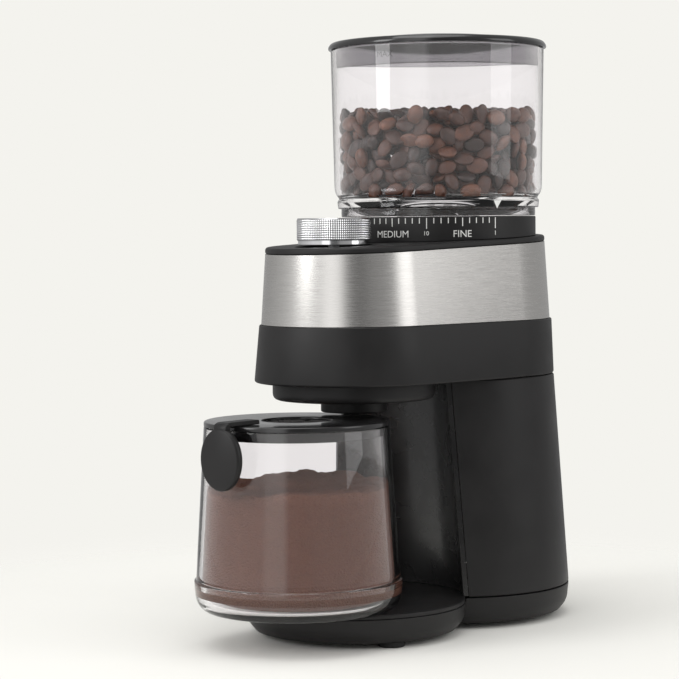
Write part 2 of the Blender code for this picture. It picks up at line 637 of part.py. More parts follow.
def build_handle(strap_low):
    """A strap along the lid that turns down over its rim into an oval paddle."""
    strap_top = strap_low + STRAP_THICK
    back = HANDLE_REACH - HANDLE_THICK
    half = STRAP_WIDTH / 2
    side = [(STRAP_START, strap_low), (back, strap_low), (back, strap_low - 0.0060),
            (HANDLE_REACH - 0.0008, strap_low - 0.0060), (HANDLE_REACH - 0.0008, strap_low - 0.0006),
            (HANDLE_REACH - 0.0030, strap_top), (STRAP_START + 0.0008, strap_top)]
    rings = [[(x, -reach, z) for reach, z in side] for x in (-half, half)]
    strap = loft("jar_handle", rings, BLACK, (0, JAR_Y, 0), smooth=20)
    middle = strap_low - 0.0006 - HANDLE_HEIGHT / 2
    oval = []
    for y in (-HANDLE_REACH, -back - 0.0004):
        oval.append([(HANDLE_HALF_WIDTH * math.cos(2 * math.pi * i / 40), y,
                      middle + HANDLE_HEIGHT / 2 * math.sin(2 * math.pi * i / 40)) for i in range(40)])
    paddle = loft("paddle_add", oval, None, (0, JAR_Y, 0))
    combine(strap, paddle, "UNION")


# ================================================================ drive
def involute(radius, base):
    angle = math.acos(min(1.0, base / radius))
    return math.tan(angle) - angle


def gear_outline(teeth, phase):
    """Outline of an involute gear with one tooth centred on the angle phase (radians)."""
    pitch = MODULE * teeth / 2
    base = pitch * math.cos(PRESSURE_ANGLE)
    tip = pitch + ADDENDUM * MODULE
    root = pitch - DEDENDUM * MODULE
    start = max(base, root)
    half = math.pi / (2 * teeth) - BACKLASH / (4 * pitch) + involute(pitch, base)
    radii = (start, tip) if teeth > 16 else (start, pitch, tip)
    flank = [(radius, half - involute(radius, base)) for radius in radii]
    if start - root > 0.1 * MODULE:
        flank.insert(0, (root, flank[0][1]))
    points = []
    for tooth in range(teeth):
        centre = phase + 2 * math.pi * tooth / teeth
        sides = [(radius, centre - angle) for radius, angle in flank]
        sides += [(radius, centre + angle) for radius, angle in reversed(flank)]
        points += [(radius * math.cos(angle), radius * math.sin(angle)) for radius, angle in sides]
    return points


def build_gears():
    to_idler = math.radians(-30)
    to_output = math.radians(210)
    first, second = GEAR_Z, GEAR_Z + LAYER_STEP
    pinion = prism("motor_pinion", gear_outline(PINION_TEETH, to_idler), first, first + GEAR_WIDTH, HARD,
                   (0, MOTOR_Y, 0))
    drill(pinion, MOTOR_SHAFT + GAP, first - 0.01, first + 0.03, 0, MOTOR_Y)

    wheel = prism("compound_gear", gear_outline(WHEEL_TEETH, to_idler + math.pi + math.pi / WHEEL_TEETH),
                  first, first + GEAR_WIDTH, NYLON, (IDLER_X, IDLER_Y, 0))
    small = prism("second_add", gear_outline(SECOND_TEETH, to_output), first + GEAR_WIDTH - 0.001,
                  second + GEAR_WIDTH, None, (IDLER_X, IDLER_Y, 0))
    combine(wheel, small, "UNION")
    drill(wheel, AXLE_RADIUS + RUNNING, first - 0.01, second + 0.03, IDLER_X, IDLER_Y)

    output = prism("output_gear",
                   gear_outline(OUTPUT_TEETH, to_output - math.pi + math.pi / OUTPUT_TEETH),
                   second, second + GEAR_WIDTH, HARD, (0, HOPPER_Y, 0))
    drill(output, SHAFT_RADIUS + GAP, second - 0.01, second + 0.03, 0, HOPPER_Y)

    high, low = COVER_PLATE_TOP, GEARBOX_Z
    turned("compound_axle", [(0, high), (AXLE_RADIUS, high), (AXLE_RADIUS, low), (0, low)],
           HARD, (IDLER_X, IDLER_Y, 0), FINE_SEGMENTS)


def gearbox_ring(z, inset):
    """The gearbox's plan: round the output gear and pinion on one side, the big wheel on the other."""
    tip = MODULE * (WHEEL_TEETH / 2 + ADDENDUM)
    far = (tip + GEARBOX_WALL + 0.0012 - inset, math.hypot(IDLER_X, GEAR_CENTRES / 2 - GEARBOX_SHIFT))
    near = (GEARBOX_NOSE - inset, 0.0)
    spin = math.atan2(GEAR_CENTRES / 2 - GEARBOX_SHIFT, IDLER_X) - math.pi / 2
    return hull(near, far, z, 40, spin=spin)


def build_gearbox():
    at = (0, HOPPER_Y + GEARBOX_SHIFT, 0)
    floor = GEARBOX_Z + FLOOR
    rings = [gearbox_ring(GEARBOX_Z, 0), gearbox_ring(GEARBOX_WALL_TOP, 0),
             gearbox_ring(GEARBOX_WALL_TOP, GEARBOX_WALL), gearbox_ring(floor, GEARBOX_WALL)]
    box = loft("gearbox_housing", rings, DARK, at)
    drill(box, BEARING_RADIUS + GAP, GEARBOX_Z - 0.01, floor + 0.001, 0, HOPPER_Y)
    drill(box, AXLE_RADIUS + GAP, GEARBOX_Z - 0.01, floor + 0.001, IDLER_X, IDLER_Y)
    drill(box, MOTOR_SHAFT + 0.0015, GEARBOX_Z - 0.01, floor + 0.001, 0, MOTOR_Y)

    low, high = GEARBOX_WALL_TOP + GAP, COVER_PLATE_TOP
    plate = loft("gearbox_cover", [gearbox_ring(low, 0), gearbox_ring(high, 0)], DARK, at)
    drill(plate, BEARING_RADIUS + GAP, low - 0.01, high + 0.01, 0, HOPPER_Y)
    drill(plate, AXLE_RADIUS + GAP, low - 0.01, high + 0.01, IDLER_X, IDLER_Y)

    bore = SHAFT_RADIUS + RUNNING
    for name, z, height in (("shaft_bearing_lower", GEARBOX_Z, FLOOR + 0.0008),
                            ("shaft_bearing_upper", low, FLOOR + GAP + FLOOR)):
        turned(name, [(bore, z + height), (BEARING_RADIUS, z + height), (BEARING_RADIUS, z), (bore, z)],
               BRONZE, (0, HOPPER_Y, 0), FINE_SEGMENTS)


def build_motor():
    at = (0, MOTOR_Y, 0)
    high = GEARBOX_Z - MOTOR_BELOW
    low = high - MOTOR_LENGTH
    r = MOTOR_RADIUS
    can = r - CAN_WALL
    turned("motor_can", [(r, high), (r, low), (can, low), (can, high)], STEEL, at, MID_SEGMENTS)
    turned("motor_stator", [(can - GAP, high - 0.008), (can - GAP, low + 0.010), (can - 0.0036, low + 0.010),
                            (can - 0.0036, high - 0.008)], IRON, at, MID_SEGMENTS)
    bush = BUSH_RADIUS
    cap_low = high + GAP
    boss = GEARBOX_Z - GAP
    cap_high = cap_low + 0.0030
    turned("motor_top_cap", [(bush + GAP, boss), (MOTOR_BOSS, boss), (MOTOR_BOSS, cap_high), (r, cap_high),
                             (r, cap_low), (bush + GAP, cap_low)], STEEL, at, MID_SEGMENTS)
    turned("motor_bottom_cap", [(bush + GAP, low - GAP), (r, low - GAP), (r, low - 0.0033),
                                (MOTOR_BOSS, low - 0.0033), (MOTOR_BOSS, low - 0.0080),
                                (bush + GAP, low - 0.0080)], STEEL, at, MID_SEGMENTS)
    bore = MOTOR_SHAFT + RUNNING
    for name, z in (("motor_bush_top", boss - 0.0060), ("motor_bush_bottom", low - 0.0075)):
        turned(name, [(bore, z + BUSH_LENGTH), (bush, z + BUSH_LENGTH), (bush, z), (bore, z)],
               BRONZE, at, FINE_SEGMENTS)
    top = GEAR_Z + GEAR_WIDTH + 0.0010
    turned("motor_shaft", [(0, top), (MOTOR_SHAFT, top), (MOTOR_SHAFT, low - 0.0085), (0, low - 0.0085)],
           HARD, at, FINE_SEGMENTS)
    bore = MOTOR_SHAFT + GAP
    rotor = can - 0.0036 - 0.0006
    core_high, core_low = high - 0.010, low + 0.018
    turned("rotor_core", [(bore, core_high), (rotor, core_high), (rotor, core_low), (bore, core_low)],
           IRON, at, MID_SEGMENTS)
    ring_high, ring_low = low + 0.0155, low + 0.0045
    turned("commutator", [(bore, ring_high), (COMMUTATOR_RADIUS, ring_high), (COMMUTATOR_RADIUS, ring_low),
                          (bore, ring_low)], COPPER, at, FINE_SEGMENTS)
    brush = (0.0090, 0.0050, 0.0060)
    for name, side in (("carbon_brush_left", -1), ("carbon_brush_right", 1)):
        x = COMMUTATOR_RADIUS + GAP + brush[0] / 2
        block(name, brush, DARK, (side * x, MOTOR_Y, ring_low + 0.0020))
    ring, outer = r + GAP, r + 0.0033
    band_high, band_low = high - 0.012, high - 0.024
    turned("motor_mount_ring", [(ring, band_high), (outer, band_high), (outer, band_low), (ring, band_low)],
           RUBBER, at, MID_SEGMENTS)


# ================================================================ burrs and grounds path
def fluted_ring(radius, depth, z, teeth, twist, count=40):
    """A ring whose radius drops along a saw tooth, turned by twist."""
    points = []
    for i in range(count):
        angle = 2 * math.pi * i / count
        saw = (teeth * (angle + twist) / (2 * math.pi)) % 1.0
        size = radius - depth * saw
        points.append((size * math.cos(angle), size * math.sin(angle), z))
    return points


def build_burrs():
    at = (0, HOPPER_Y, 0)
    height = BURR_TOP - CONE_Z
    rings = []
    for share in (0.0, 0.15, 0.5, 1.0):
        radius = between(CONE_FOOT, CONE_TOP, share)
        rings.append(fluted_ring(radius, 0.0022 * min(1.0, 0.25 + share), CONE_Z + height * share, 8,
                                 share * 0.9))
    cone = loft("cone_burr", rings, HARD, at, smooth=0)
    drill(cone, SHAFT_RADIUS + GAP, CONE_Z - 0.01, BURR_TOP + 0.01, 0, HOPPER_Y)

    ring_low = CONE_Z + 0.0012
    ring_high = ring_low + height * 0.72
    rings = [circle(BURR_RADIUS, ring_low, 40), circle(BURR_RADIUS, ring_high, 40)]
    for share in (1.0, 0.5, 0.0):
        z = between(ring_low, ring_high, share)
        mate = between(CONE_FOOT, CONE_TOP, (z - CONE_Z) / height)
        radius = mate + BURR_GAP + 0.0016 + share * 0.0050
        rings.append(fluted_ring(radius, 0.0016 * share, z, 16, -share * 0.5))
    loft("ring_burr", rings, HARD, at, loop=True, smooth=0)

    r = BURR_RADIUS + GAP
    outside = CHAMBER_RADIUS - CHAMBER_WALL - RUNNING - 0.0002
    shelf = ring_high + GAP
    turned("burr_carrier", [(outside, ring_low), (outside, CARRIER_TOP), (r - 0.0030, CARRIER_TOP),
                            (r - 0.0030, shelf), (r, shelf), (r, ring_low)], DARK, at, MID_SEGMENTS)

    nut_low = BURR_TOP + GAP
    nut = prism("burr_nut", [(NUT_RADIUS * math.cos(math.radians(60 * i)),
                              NUT_RADIUS * math.sin(math.radians(60 * i))) for i in range(6)],
                nut_low, nut_low + NUT_HEIGHT, HARD, at)
    drill(nut, SHAFT_RADIUS + GAP, nut_low - 0.01, nut_low + 0.01, 0, HOPPER_Y)
    top = nut_low + NUT_HEIGHT + 0.0006
    low = GEARBOX_Z
    turned("burr_shaft", [(0, top), (SHAFT_RADIUS, top), (SHAFT_RADIUS, low), (0, low)],
           HARD, at, FINE_SEGMENTS)

    outline = []
    half, hub = 0.0014, 0.0100
    reach = CHAMBER_RADIUS - CHAMBER_WALL - 0.0012
    for vane in range(SWEEP_VANES):
        centre = 2 * math.pi * vane / SWEEP_VANES
        cos, sin = math.cos(centre), math.sin(centre)
        for x, side in ((hub, -1), (reach, -1), (reach, 1), (hub, 1)):
            y = side * half
            outline.append((x * cos - y * sin, x * sin + y * cos))
    sweeper = prism("grounds_sweeper", outline, SWEEP_Z, SWEEP_Z + SWEEP_HEIGHT, NYLON, at)
    drill(sweeper, SHAFT_RADIUS + GAP, SWEEP_Z - 0.01, SWEEP_Z + 0.02, 0, HOPPER_Y)


def build_chamber(chute_low):
    low, r = CHAMBER_Z, CHAMBER_RADIUS
    top = RING_TOP - RING_PLATE - 0.0020
    bore = BEARING_RADIUS + GAP
    chamber = turned("grinding_chamber", [(bore, low), (r, low), (r, top), (r - CHAMBER_WALL, top),
                                          (r - CHAMBER_WALL, low + FLOOR), (bore, low + FLOOR)],
                     DARK, (0, HOPPER_Y, 0), MID_SEGMENTS)
    window = block("window_cut", (0.0200, 0.0200, 0.0100), None, (0, HOPPER_Y - r, WINDOW_Z + 0.0020))
    combine(chamber, window)

    middle = WINDOW_Z + 0.0020
    start, end = -FRONT_AXIS, -r - 2 * GAP
    outside, inside = [], []
    for step in range(4):
        share = step / 3
        phi = math.radians(90) * share
        y = start + (end - start) * (1 - math.cos(phi))
        z = chute_low + (middle - chute_low) * math.sin(phi)
        half_x = between(SPOUT_RADIUS, 0.0130, share)
        half_v = between(SPOUT_RADIUS, 0.0075, share)
        for rings, shrink in ((outside, 0.0), (inside, CHUTE_WALL)):
            ring = []
            for i in range(20):
                a = 2 * math.pi * i / 20
                across = (half_x - shrink) * math.cos(a)
                along = (half_v - shrink) * math.sin(a)
                ring.append((across, y + along * math.cos(phi), z - along * math.sin(phi)))
            rings.append(ring)
    loft("grounds_chute", outside + inside[::-1], DARK, (0, HOPPER_Y, 0), loop=True)


# ================================================================ electrics
def build_electrics():
    board_z = FOOT_HEIGHT + FLOOR + 0.0060
    block("circuit_board", (0.060, 0.044, 0.0016), BOARD, (0, HOPPER_Y + 0.016, board_z))
    low = board_z + 0.0008 + GAP
    high, r = low + 0.016, 0.0063
    turned("capacitor", [(0, high), (r - 0.0005, high), (r, high - 0.0005), (r, low), (0, low)],
           DARK, (0.018, HOPPER_Y + 0.022, 0), FINE_SEGMENTS)
    size = (0.0120, 0.0045, 0.0080)
    ahead = RING_SKIRT_RADIUS + 0.0028 + size[1] / 2
    under_cover = TOP_Z - TOP_SLOPE * (ahead + size[1]) - 0.0006
    block("microswitch", size, DARK, (0, HOPPER_Y - ahead, under_cover - size[2] / 2))


# ================================================================ assembly
build_tower()
build_gland()
build_head()
build_top_cover()
build_collar()
build_chamber(build_underside())
build_base()
build_hopper()
build_adjusting_ring()
build_knob()
build_jar()
build_gears()
build_gearbox()
build_motor()
build_burrs()
build_electrics()
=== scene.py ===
"""Looks of a conical burr coffee grinder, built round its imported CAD.

Metres, +Z up. Seen from the front, +X is right and -Y is towards the viewer. Places and outer
sizes come from the CAD nodes' boxes and joints; the names below hold what those don't say.
"""

import json
import math
import random

import bmesh
import bpy
import numpy as np
from mathutils import Matrix, Vector, noise


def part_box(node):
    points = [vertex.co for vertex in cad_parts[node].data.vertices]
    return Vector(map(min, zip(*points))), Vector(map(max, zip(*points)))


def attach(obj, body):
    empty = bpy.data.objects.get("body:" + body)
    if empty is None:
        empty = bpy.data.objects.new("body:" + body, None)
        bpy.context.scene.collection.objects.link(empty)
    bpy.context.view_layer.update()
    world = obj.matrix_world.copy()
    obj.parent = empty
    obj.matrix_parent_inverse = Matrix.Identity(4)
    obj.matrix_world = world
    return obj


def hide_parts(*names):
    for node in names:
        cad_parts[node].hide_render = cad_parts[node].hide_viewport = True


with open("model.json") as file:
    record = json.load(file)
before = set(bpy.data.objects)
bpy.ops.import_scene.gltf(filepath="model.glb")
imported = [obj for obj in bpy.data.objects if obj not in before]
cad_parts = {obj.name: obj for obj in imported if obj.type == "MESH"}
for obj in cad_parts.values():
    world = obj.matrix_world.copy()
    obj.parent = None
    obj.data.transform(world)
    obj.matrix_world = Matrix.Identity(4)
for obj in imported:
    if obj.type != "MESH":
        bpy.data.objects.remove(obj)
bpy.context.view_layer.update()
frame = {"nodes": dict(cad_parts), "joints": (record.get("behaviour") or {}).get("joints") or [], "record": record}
JOINTS = {joint["name"]: joint for joint in frame["joints"]}
BODIES = frame["record"]["behaviour"]["bodies"]
BODY_OF = {node: body for body, nodes in BODIES.items() for node in nodes}
SLOT_OF = {part["node"]: part["material_slot"] for part in frame["record"]["subparts"]}
BOXES = {node: tuple(tuple(corner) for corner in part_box(node)) for node in frame["nodes"]}


# ================ places from the frame


def box(node):
    """The node's box as ((x, y, z) low, (x, y, z) high)."""
    return BOXES[node]


def radius_of(node):
    """Half of the node's width."""
    low, high = box(node)
    return (high[0] - low[0]) / 2


def levels(node):
    """The heights of the node's underside and top."""
    low, high = box(node)
    return low[2], high[2]


HOPPER_Y = JOINTS["hopper_turn"]["pos_m"][1]
KNOB_Y = JOINTS["knob_turn"]["pos_m"][1]
SEAT_Y = (box("spout_shroud")[0][1] + box("spout_shroud")[1][1]) / 2
JAR_Y = (box("jar")[0][1] + box("jar")[1][1]) / 2

# ---------------- sizes the boxes don't say
ROUND = 160               # segments round a casing
SHARP = 35                # degrees between faces from which an edge shows
TOP_SLOPE = 0.036         # the head's top rises towards the back
STEEL_THICK = 0.0010
BAND_PROUD = 0.0010       # the lower head stands this far out from the steel band
WALL = 0.0025
CLEAR_WALL = 0.0023
COLLAR_WALL = 0.0038
SKIRT_WALL = 0.0018
GAP = 0.0003
WELL_CLEARANCE = 0.0009   # between the knob and its well
GLAND_BORE = 0.0034
GLAND_NECK = 0.0054
SEAT_CLEARANCE = 0.0024   # between the jar and the hollow it slides into
THROAT = 0.0196           # inside radius of the hopper's throat
FLANGE = 0.0045           # height of the hopper's thick foot
NECK = 0.0043
FOOT_INSET = 0.0014       # the hopper is this much narrower at its foot
BEAN_LEVEL = 0.0455       # beans above the hopper's floor
GROUNDS_LEVEL = 0.0565    # grounds above the jar's floor
JAR_RING = 0.0150         # height of the ring where the jar is widest
JAR_FLOOR = 0.0032
JAR_LID_HOLE = 0.0175     # radius
PADDLE_THICK = 0.0038
STRAP_THICK = 0.0022
STRAP_HALF = 0.0040
BEAN_HALF = (0.0054, 0.0040, 0.0031)
BEAN_COUNT = 960
BEAN_SPACING = 0.0080
KNURL_ROWS = 9
KNURL_COLUMNS = 102
KNURL_DEPTH = 0.00032
SCALE_START = -17.2       # degrees, of the finest mark
SCALE_STEP = -4.11
SCALE_MARKS = 30
SCALE_WORDS = {5: "FINE", 15: "MEDIUM", 25: "COARSE"}
TICK_HALF = 0.00022
POINTER_HALF = 0.0023
FILL_MARK_TURN = -81.0    # degrees, where the fill mark stands on the lid's skirt


# ================ mesh helpers
def circle(radius, height, count=ROUND, middle=0.0):
    """Points round an upright axis that stands at y = middle."""
    turns = [2 * math.pi * i / count for i in range(count)]
    return [(radius * math.cos(turn), middle + radius * math.sin(turn), height) for turn in turns]


def outline(*corners, steps=5):
    """A closed outline of (radius, height) points; a corner's third value says how far it is rounded."""
    points = []
    count = len(corners)
    for i, corner in enumerate(corners):
        here = Vector(corner[:2])
        size = corner[2] if len(corner) > 2 else 0.0
        if not size:
            points.append(tuple(here))
            continue
        before = Vector(corners[i - 1][:2]) - here
        after = Vector(corners[(i + 1) % count][:2]) - here
        start = here + before.normalized() * min(size, before.length * 0.49)
        end = here + after.normalized() * min(size, after.length * 0.49)
        for step in range(steps + 1):
            t = step / steps
            points.append(tuple(start * (1 - t) ** 2 + here * 2 * t * (1 - t) + end * t * t))
    return points


def make(name, points, faces, at=(0.0, 0.0, 0.0), smooth=SHARP):
    """An object from points and faces, turned to face outwards and shaded smooth up to an angle."""
    mesh = bpy.data.meshes.new(name)
    mesh.from_pydata([tuple(p) for p in points], [], faces)
    bm = bmesh.new()
    bm.from_mesh(mesh)
    bmesh.ops.recalc_face_normals(bm, faces=bm.faces)
    if bm.calc_volume(signed=True) < 0:
        bmesh.ops.reverse_faces(bm, faces=bm.faces)
    bm.to_mesh(mesh)
    bm.free()
    mesh.shade_smooth()
    mesh.set_sharp_from_angle(angle=math.radians(smooth))
    obj = bpy.data.objects.new(name, mesh)
    obj.location = at
    bpy.context.scene.collection.objects.link(obj)
    return obj


def loft(name, rings, at=(0.0, 0.0, 0.0), loop=False, smooth=SHARP):
    """Joins rings of equal length, one after the other, closed by caps or back to the first."""
    count = len(rings[0])
    points = [p for ring in rings for p in ring]
    pairs = [(k, k + 1) for k in range(len(rings) - 1)]
    faces = []
    if loop:
        pairs.append((len(rings) - 1, 0))
    else:
        last = (len(rings) - 1) * count
        faces += [list(range(count))[::-1], [last + i for i in range(count)]]
    for low, high in pairs:
        for i in range(count):
            j = (i + 1) % count
            faces.append([low * count + i, low * count + j, high * count + j, high * count + i])
    return make(name, points, faces, at, smooth)


def lathe(name, profile, at=(0.0, 0.0, 0.0), count=ROUND):
    """Turns a closed outline of (radius, height) about Z."""
    points, rows = [], []
    for radius, height in profile:
        ring = [(0.0, 0.0, height)] if radius < 1e-6 else circle(radius, height, count)
        rows.append([len(points) + i for i in range(len(ring))])
        points += ring
    faces = []
    for low, high in zip(rows, rows[1:] + rows[:1]):
        for i in range(count):
            j = (i + 1) % count
            corners = [low[i % len(low)], low[j % len(low)], high[j % len(high)], high[i % len(high)]]
            corners = list(dict.fromkeys(corners))
            if len(corners) > 2:
                faces.append(corners)
    return make(name, points, faces, at)


def egg(rear, nose, inset, z, slope=0.0, count=ROUND):
    """A ring round the head's rear circle (radius, distance behind) and its nose circle (radius)."""
    r_far, y_far = rear[0] - inset, rear[1]
    r_near, y_near = nose - inset, SEAT_Y - HOPPER_Y
    spread = math.asin((r_far - r_near) / (y_far - y_near))
    half = count // 2
    points = []
    for i in range(half):
        angle = -spread + (math.pi + 2 * spread) * i / (half - 1)
        points.append((r_far * math.cos(angle), y_far + r_far * math.sin(angle)))
    for i in range(half):
        angle = math.pi + spread + (math.pi - 2 * spread) * i / (half - 1)
        points.append((r_near * math.cos(angle), y_near + r_near * math.sin(angle)))
    return [(x, y, z + slope * y) for x, y in points]


def head_section(node):
    """((rear radius, distance behind), nose radius) of the head at the widest level of node."""
    low, high = box(node)
    rear = (high[0] - low[0]) / 2
    return (rear, high[1] - HOPPER_Y - rear), SEAT_Y - low[1]


def shape_of(obj):
    """A new mesh of the object as its modifiers or its curve make it."""
    bpy.context.view_layer.update()
    return bpy.data.meshes.new_from_object(obj.evaluated_get(bpy.context.evaluated_depsgraph_get()))


def cut(obj, tool, operation="DIFFERENCE"):
    """Applies a Boolean of tool to obj and removes tool."""
    step = obj.modifiers.new(operation.lower(), "BOOLEAN")
    step.operation = operation
    step.solver = "EXACT"
    step.object = tool
    shape = shape_of(obj)
    obj.modifiers.clear()
    obj.data = shape
    bpy.data.objects.remove(tool)
    shape.shade_smooth()
    shape.set_sharp_from_angle(angle=math.radians(SHARP))


def stand_for(obj, node, look):
    """obj takes node's place, on node's body, with the material look."""
    obj.data.materials.clear()
    obj.data.materials.append(look)
    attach(obj, BODY_OF[node])
    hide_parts(node)


# ================ materials
def color_ramp(tree, source, stops):
    """Colours by source: stops of (position, colour or grey value)."""
    node = tree.nodes.new("ShaderNodeValToRGB")
    elements = node.color_ramp.elements
    elements[0].position = stops[0][0]
    elements[1].position = stops[-1][0]
    for position, _ in stops[1:-1]:
        elements.new(position)
    for element, (_, color) in zip(elements, stops):
        element.color = (*color, 1.0) if isinstance(color, tuple) else (color, color, color, 1.0)
    tree.links.new(source, node.inputs["Fac"])
    return node.outputs["Color"]


class Look:
    """A material being built: a Principled shader and short ways to feed it."""

    def __init__(self, name, color, roughness, metallic=0.0):
        self.material = bpy.data.materials.new(name)
        self.material.use_nodes = True
        self.tree = self.material.node_tree
        self.shader = self.tree.nodes["Principled BSDF"]
        self.set("Base Color", (*color, 1.0))
        self.set("Roughness", roughness)
        self.set("Metallic", metallic)
        self.place = self.tree.nodes.new("ShaderNodeTexCoord").outputs["Object"]

    def set(self, socket, value):
        """Sets a socket of the shader to one value."""
        self.shader.inputs[socket].default_value = value
        return self

    def feed(self, socket, output):
        """Links another node's output to a socket of the shader."""
        self.tree.links.new(output, self.shader.inputs[socket])
        return self

    def stretched(self, scale):
        """The place on the object, scaled along each axis."""
        mapping = self.tree.nodes.new("ShaderNodeMapping")
        mapping.inputs["Scale"].default_value = scale
        self.tree.links.new(self.place, mapping.inputs["Vector"])
        return mapping.outputs["Vector"]

    def noise(self, scale, detail=4.0, stretch=(1.0, 1.0, 1.0), roughness=0.55):
        """Noise with features about 1 / scale metres long."""
        node = self.tree.nodes.new("ShaderNodeTexNoise")
        node.inputs["Scale"].default_value = scale
        node.inputs["Detail"].default_value = detail
        node.inputs["Roughness"].default_value = roughness
        self.tree.links.new(self.stretched(stretch), node.inputs["Vector"])
        return node.outputs["Fac"]

    def cells(self, scale):
        """Grains about 1 / scale metres across."""
        node = self.tree.nodes.new("ShaderNodeTexVoronoi")
        node.inputs["Scale"].default_value = scale
        self.tree.links.new(self.place, node.inputs["Vector"])
        return node.outputs["Distance"]

    def span(self, source, low, high):
        """source, which runs mostly from 0.3 to 0.7, spread from low to high."""
        node = self.tree.nodes.new("ShaderNodeMapRange")
        node.inputs["From Min"].default_value = 0.3
        node.inputs["From Max"].default_value = 0.7
        node.inputs["To Min"].default_value = low
        node.inputs["To Max"].default_value = high
        self.tree.links.new(source, node.inputs["Value"])
        return node.outputs["Result"]

    def shades(self, source, color, darker, lighter):
        """Varies the base colour a little by source."""
        dark, light = (tuple(c * share for c in color) for share in (darker, lighter))
        return self.feed("Base Color", color_ramp(self.tree, source, [(0.35, dark), (0.65, light)]))

    def bump(self, source, depth):
        """Raises the surface by source times depth metres."""
        node = self.tree.nodes.new("ShaderNodeBump")
        node.inputs["Distance"].default_value = depth
        self.tree.links.new(source, node.inputs["Height"])
        return self.feed("Normal", node.outputs["Normal"])


def moulded(name, color, roughness, grain=0.00003, grain_size=0.0004):
    """Moulded plastic: a fine grain, with roughness and colour that vary a little."""
    look = Look(name, color, roughness).set("Specular IOR Level", 0.32)
    broad = look.noise(45.0, 3.0)
    look.feed("Roughness", look.span(broad, roughness * 0.88, roughness * 1.14))
    look.shades(broad, color, 0.88, 1.12)
    look.bump(look.noise(1.0 / grain_size, 2.0), grain)
    return look.material


def polished(name, color, roughness, coat=0.3):
    """Glossy moulded plastic with the faint ripple of its mould."""
    look = Look(name, color, roughness).set("Coat Weight", coat).set("Coat Roughness", 0.05)
    look.feed("Roughness", look.span(look.noise(60.0, 3.0), roughness * 0.8, roughness * 1.3))
    look.bump(look.noise(35.0, 1.0), 0.00001)
    return look.material


def brushed(name, color, roughness):
    """Metal with fine level lines, in roughness and relief."""
    look = Look(name, color, roughness, 1.0).set("Anisotropic", 0.6)
    lines = look.noise(60.0, 6.0, (1.0, 1.0, 90.0), 0.7)
    look.feed("Roughness", look.span(lines, roughness * 0.75, roughness * 1.35))
    look.shades(lines, color, 0.93, 1.05)
    look.bump(lines, 0.000003)
    tangent = look.tree.nodes.new("ShaderNodeTangent")
    tangent.direction_type = "RADIAL"
    tangent.axis = "Z"
    look.feed("Tangent", tangent.outputs["Tangent"])
    return look.material


def ground(name, color, roughness, marks=0.00001):
    """Turned or ground metal with faint level marks."""
    look = Look(name, color, roughness, 1.0)
    lines = look.noise(150.0, 5.0, (1.0, 1.0, 14.0))
    look.feed("Roughness", look.span(lines, roughness * 0.8, roughness * 1.25))
    look.shades(look.noise(80.0), color, 0.88, 1.08)
    look.bump(lines, marks)
    return look.material


def clear(name, color, roughness=0.015):
    """Clear moulded plastic that bends what is behind it and lets lamps through."""
    look = Look(name, color, roughness)
    look.set("Transmission Weight", 1.0).set("IOR", 1.49)
    look.bump(look.noise(28.0, 1.0), 0.00004)
    tree = look.tree
    mix = tree.nodes.new("ShaderNodeMixShader")
    open_way = tree.nodes.new("ShaderNodeBsdfTransparent")
    open_way.inputs["Color"].default_value = (*[0.5 + 0.45 * c for c in color], 1.0)
    path = tree.nodes.new("ShaderNodeLightPath")
    tree.links.new(path.outputs["Is Shadow Ray"], mix.inputs["Fac"])
    tree.links.new(look.shader.outputs["BSDF"], mix.inputs[1])
    tree.links.new(open_way.outputs["BSDF"], mix.inputs[2])
    tree.links.new(mix.outputs["Shader"], tree.nodes["Material Output"].inputs["Surface"])
    return look.material


def roasted(name):
    """Roasted bean skin: a tone for each bean, blotches, fine wrinkles and an oily sheen."""
    look = Look(name, (0.08, 0.035, 0.02), 0.4)
    tone = look.tree.nodes.new("ShaderNodeAttribute")
    tone.attribute_name = "tone"
    spots = look.noise(420.0, 5.0)
    mix = look.tree.nodes.new("ShaderNodeMath")
    mix.operation = "MULTIPLY_ADD"
    look.tree.links.new(spots, mix.inputs[0])
    mix.inputs[1].default_value = 0.6
    look.tree.links.new(tone.outputs["Fac"], mix.inputs[2])
    browns = [(0.20, (0.020, 0.0070, 0.0038)), (0.55, (0.085, 0.027, 0.0125)),
              (0.95, (0.230, 0.082, 0.034))]
    look.feed("Base Color", color_ramp(look.tree, mix.outputs["Value"], browns))
    look.feed("Roughness", look.span(spots, 0.30, 0.48))
    look.set("Coat Weight", 0.18).set("Coat Roughness", 0.22)
    look.bump(look.noise(700.0, 5.0), 0.00022)
    return look.material


def granular(name):
    """Ground coffee: grains of mixed browns with deep relief."""
    look = Look(name, (0.11, 0.05, 0.03), 0.85)
    fine = look.noise(1500.0, 6.0, roughness=0.75)
    browns = [(0.10, (0.026, 0.008, 0.005)), (0.42, (0.098, 0.034, 0.019)),
              (0.72, (0.225, 0.098, 0.058))]
    look.feed("Base Color", color_ramp(look.tree, fine, browns))
    look.bump(look.cells(1150.0), 0.0006)
    return look.material


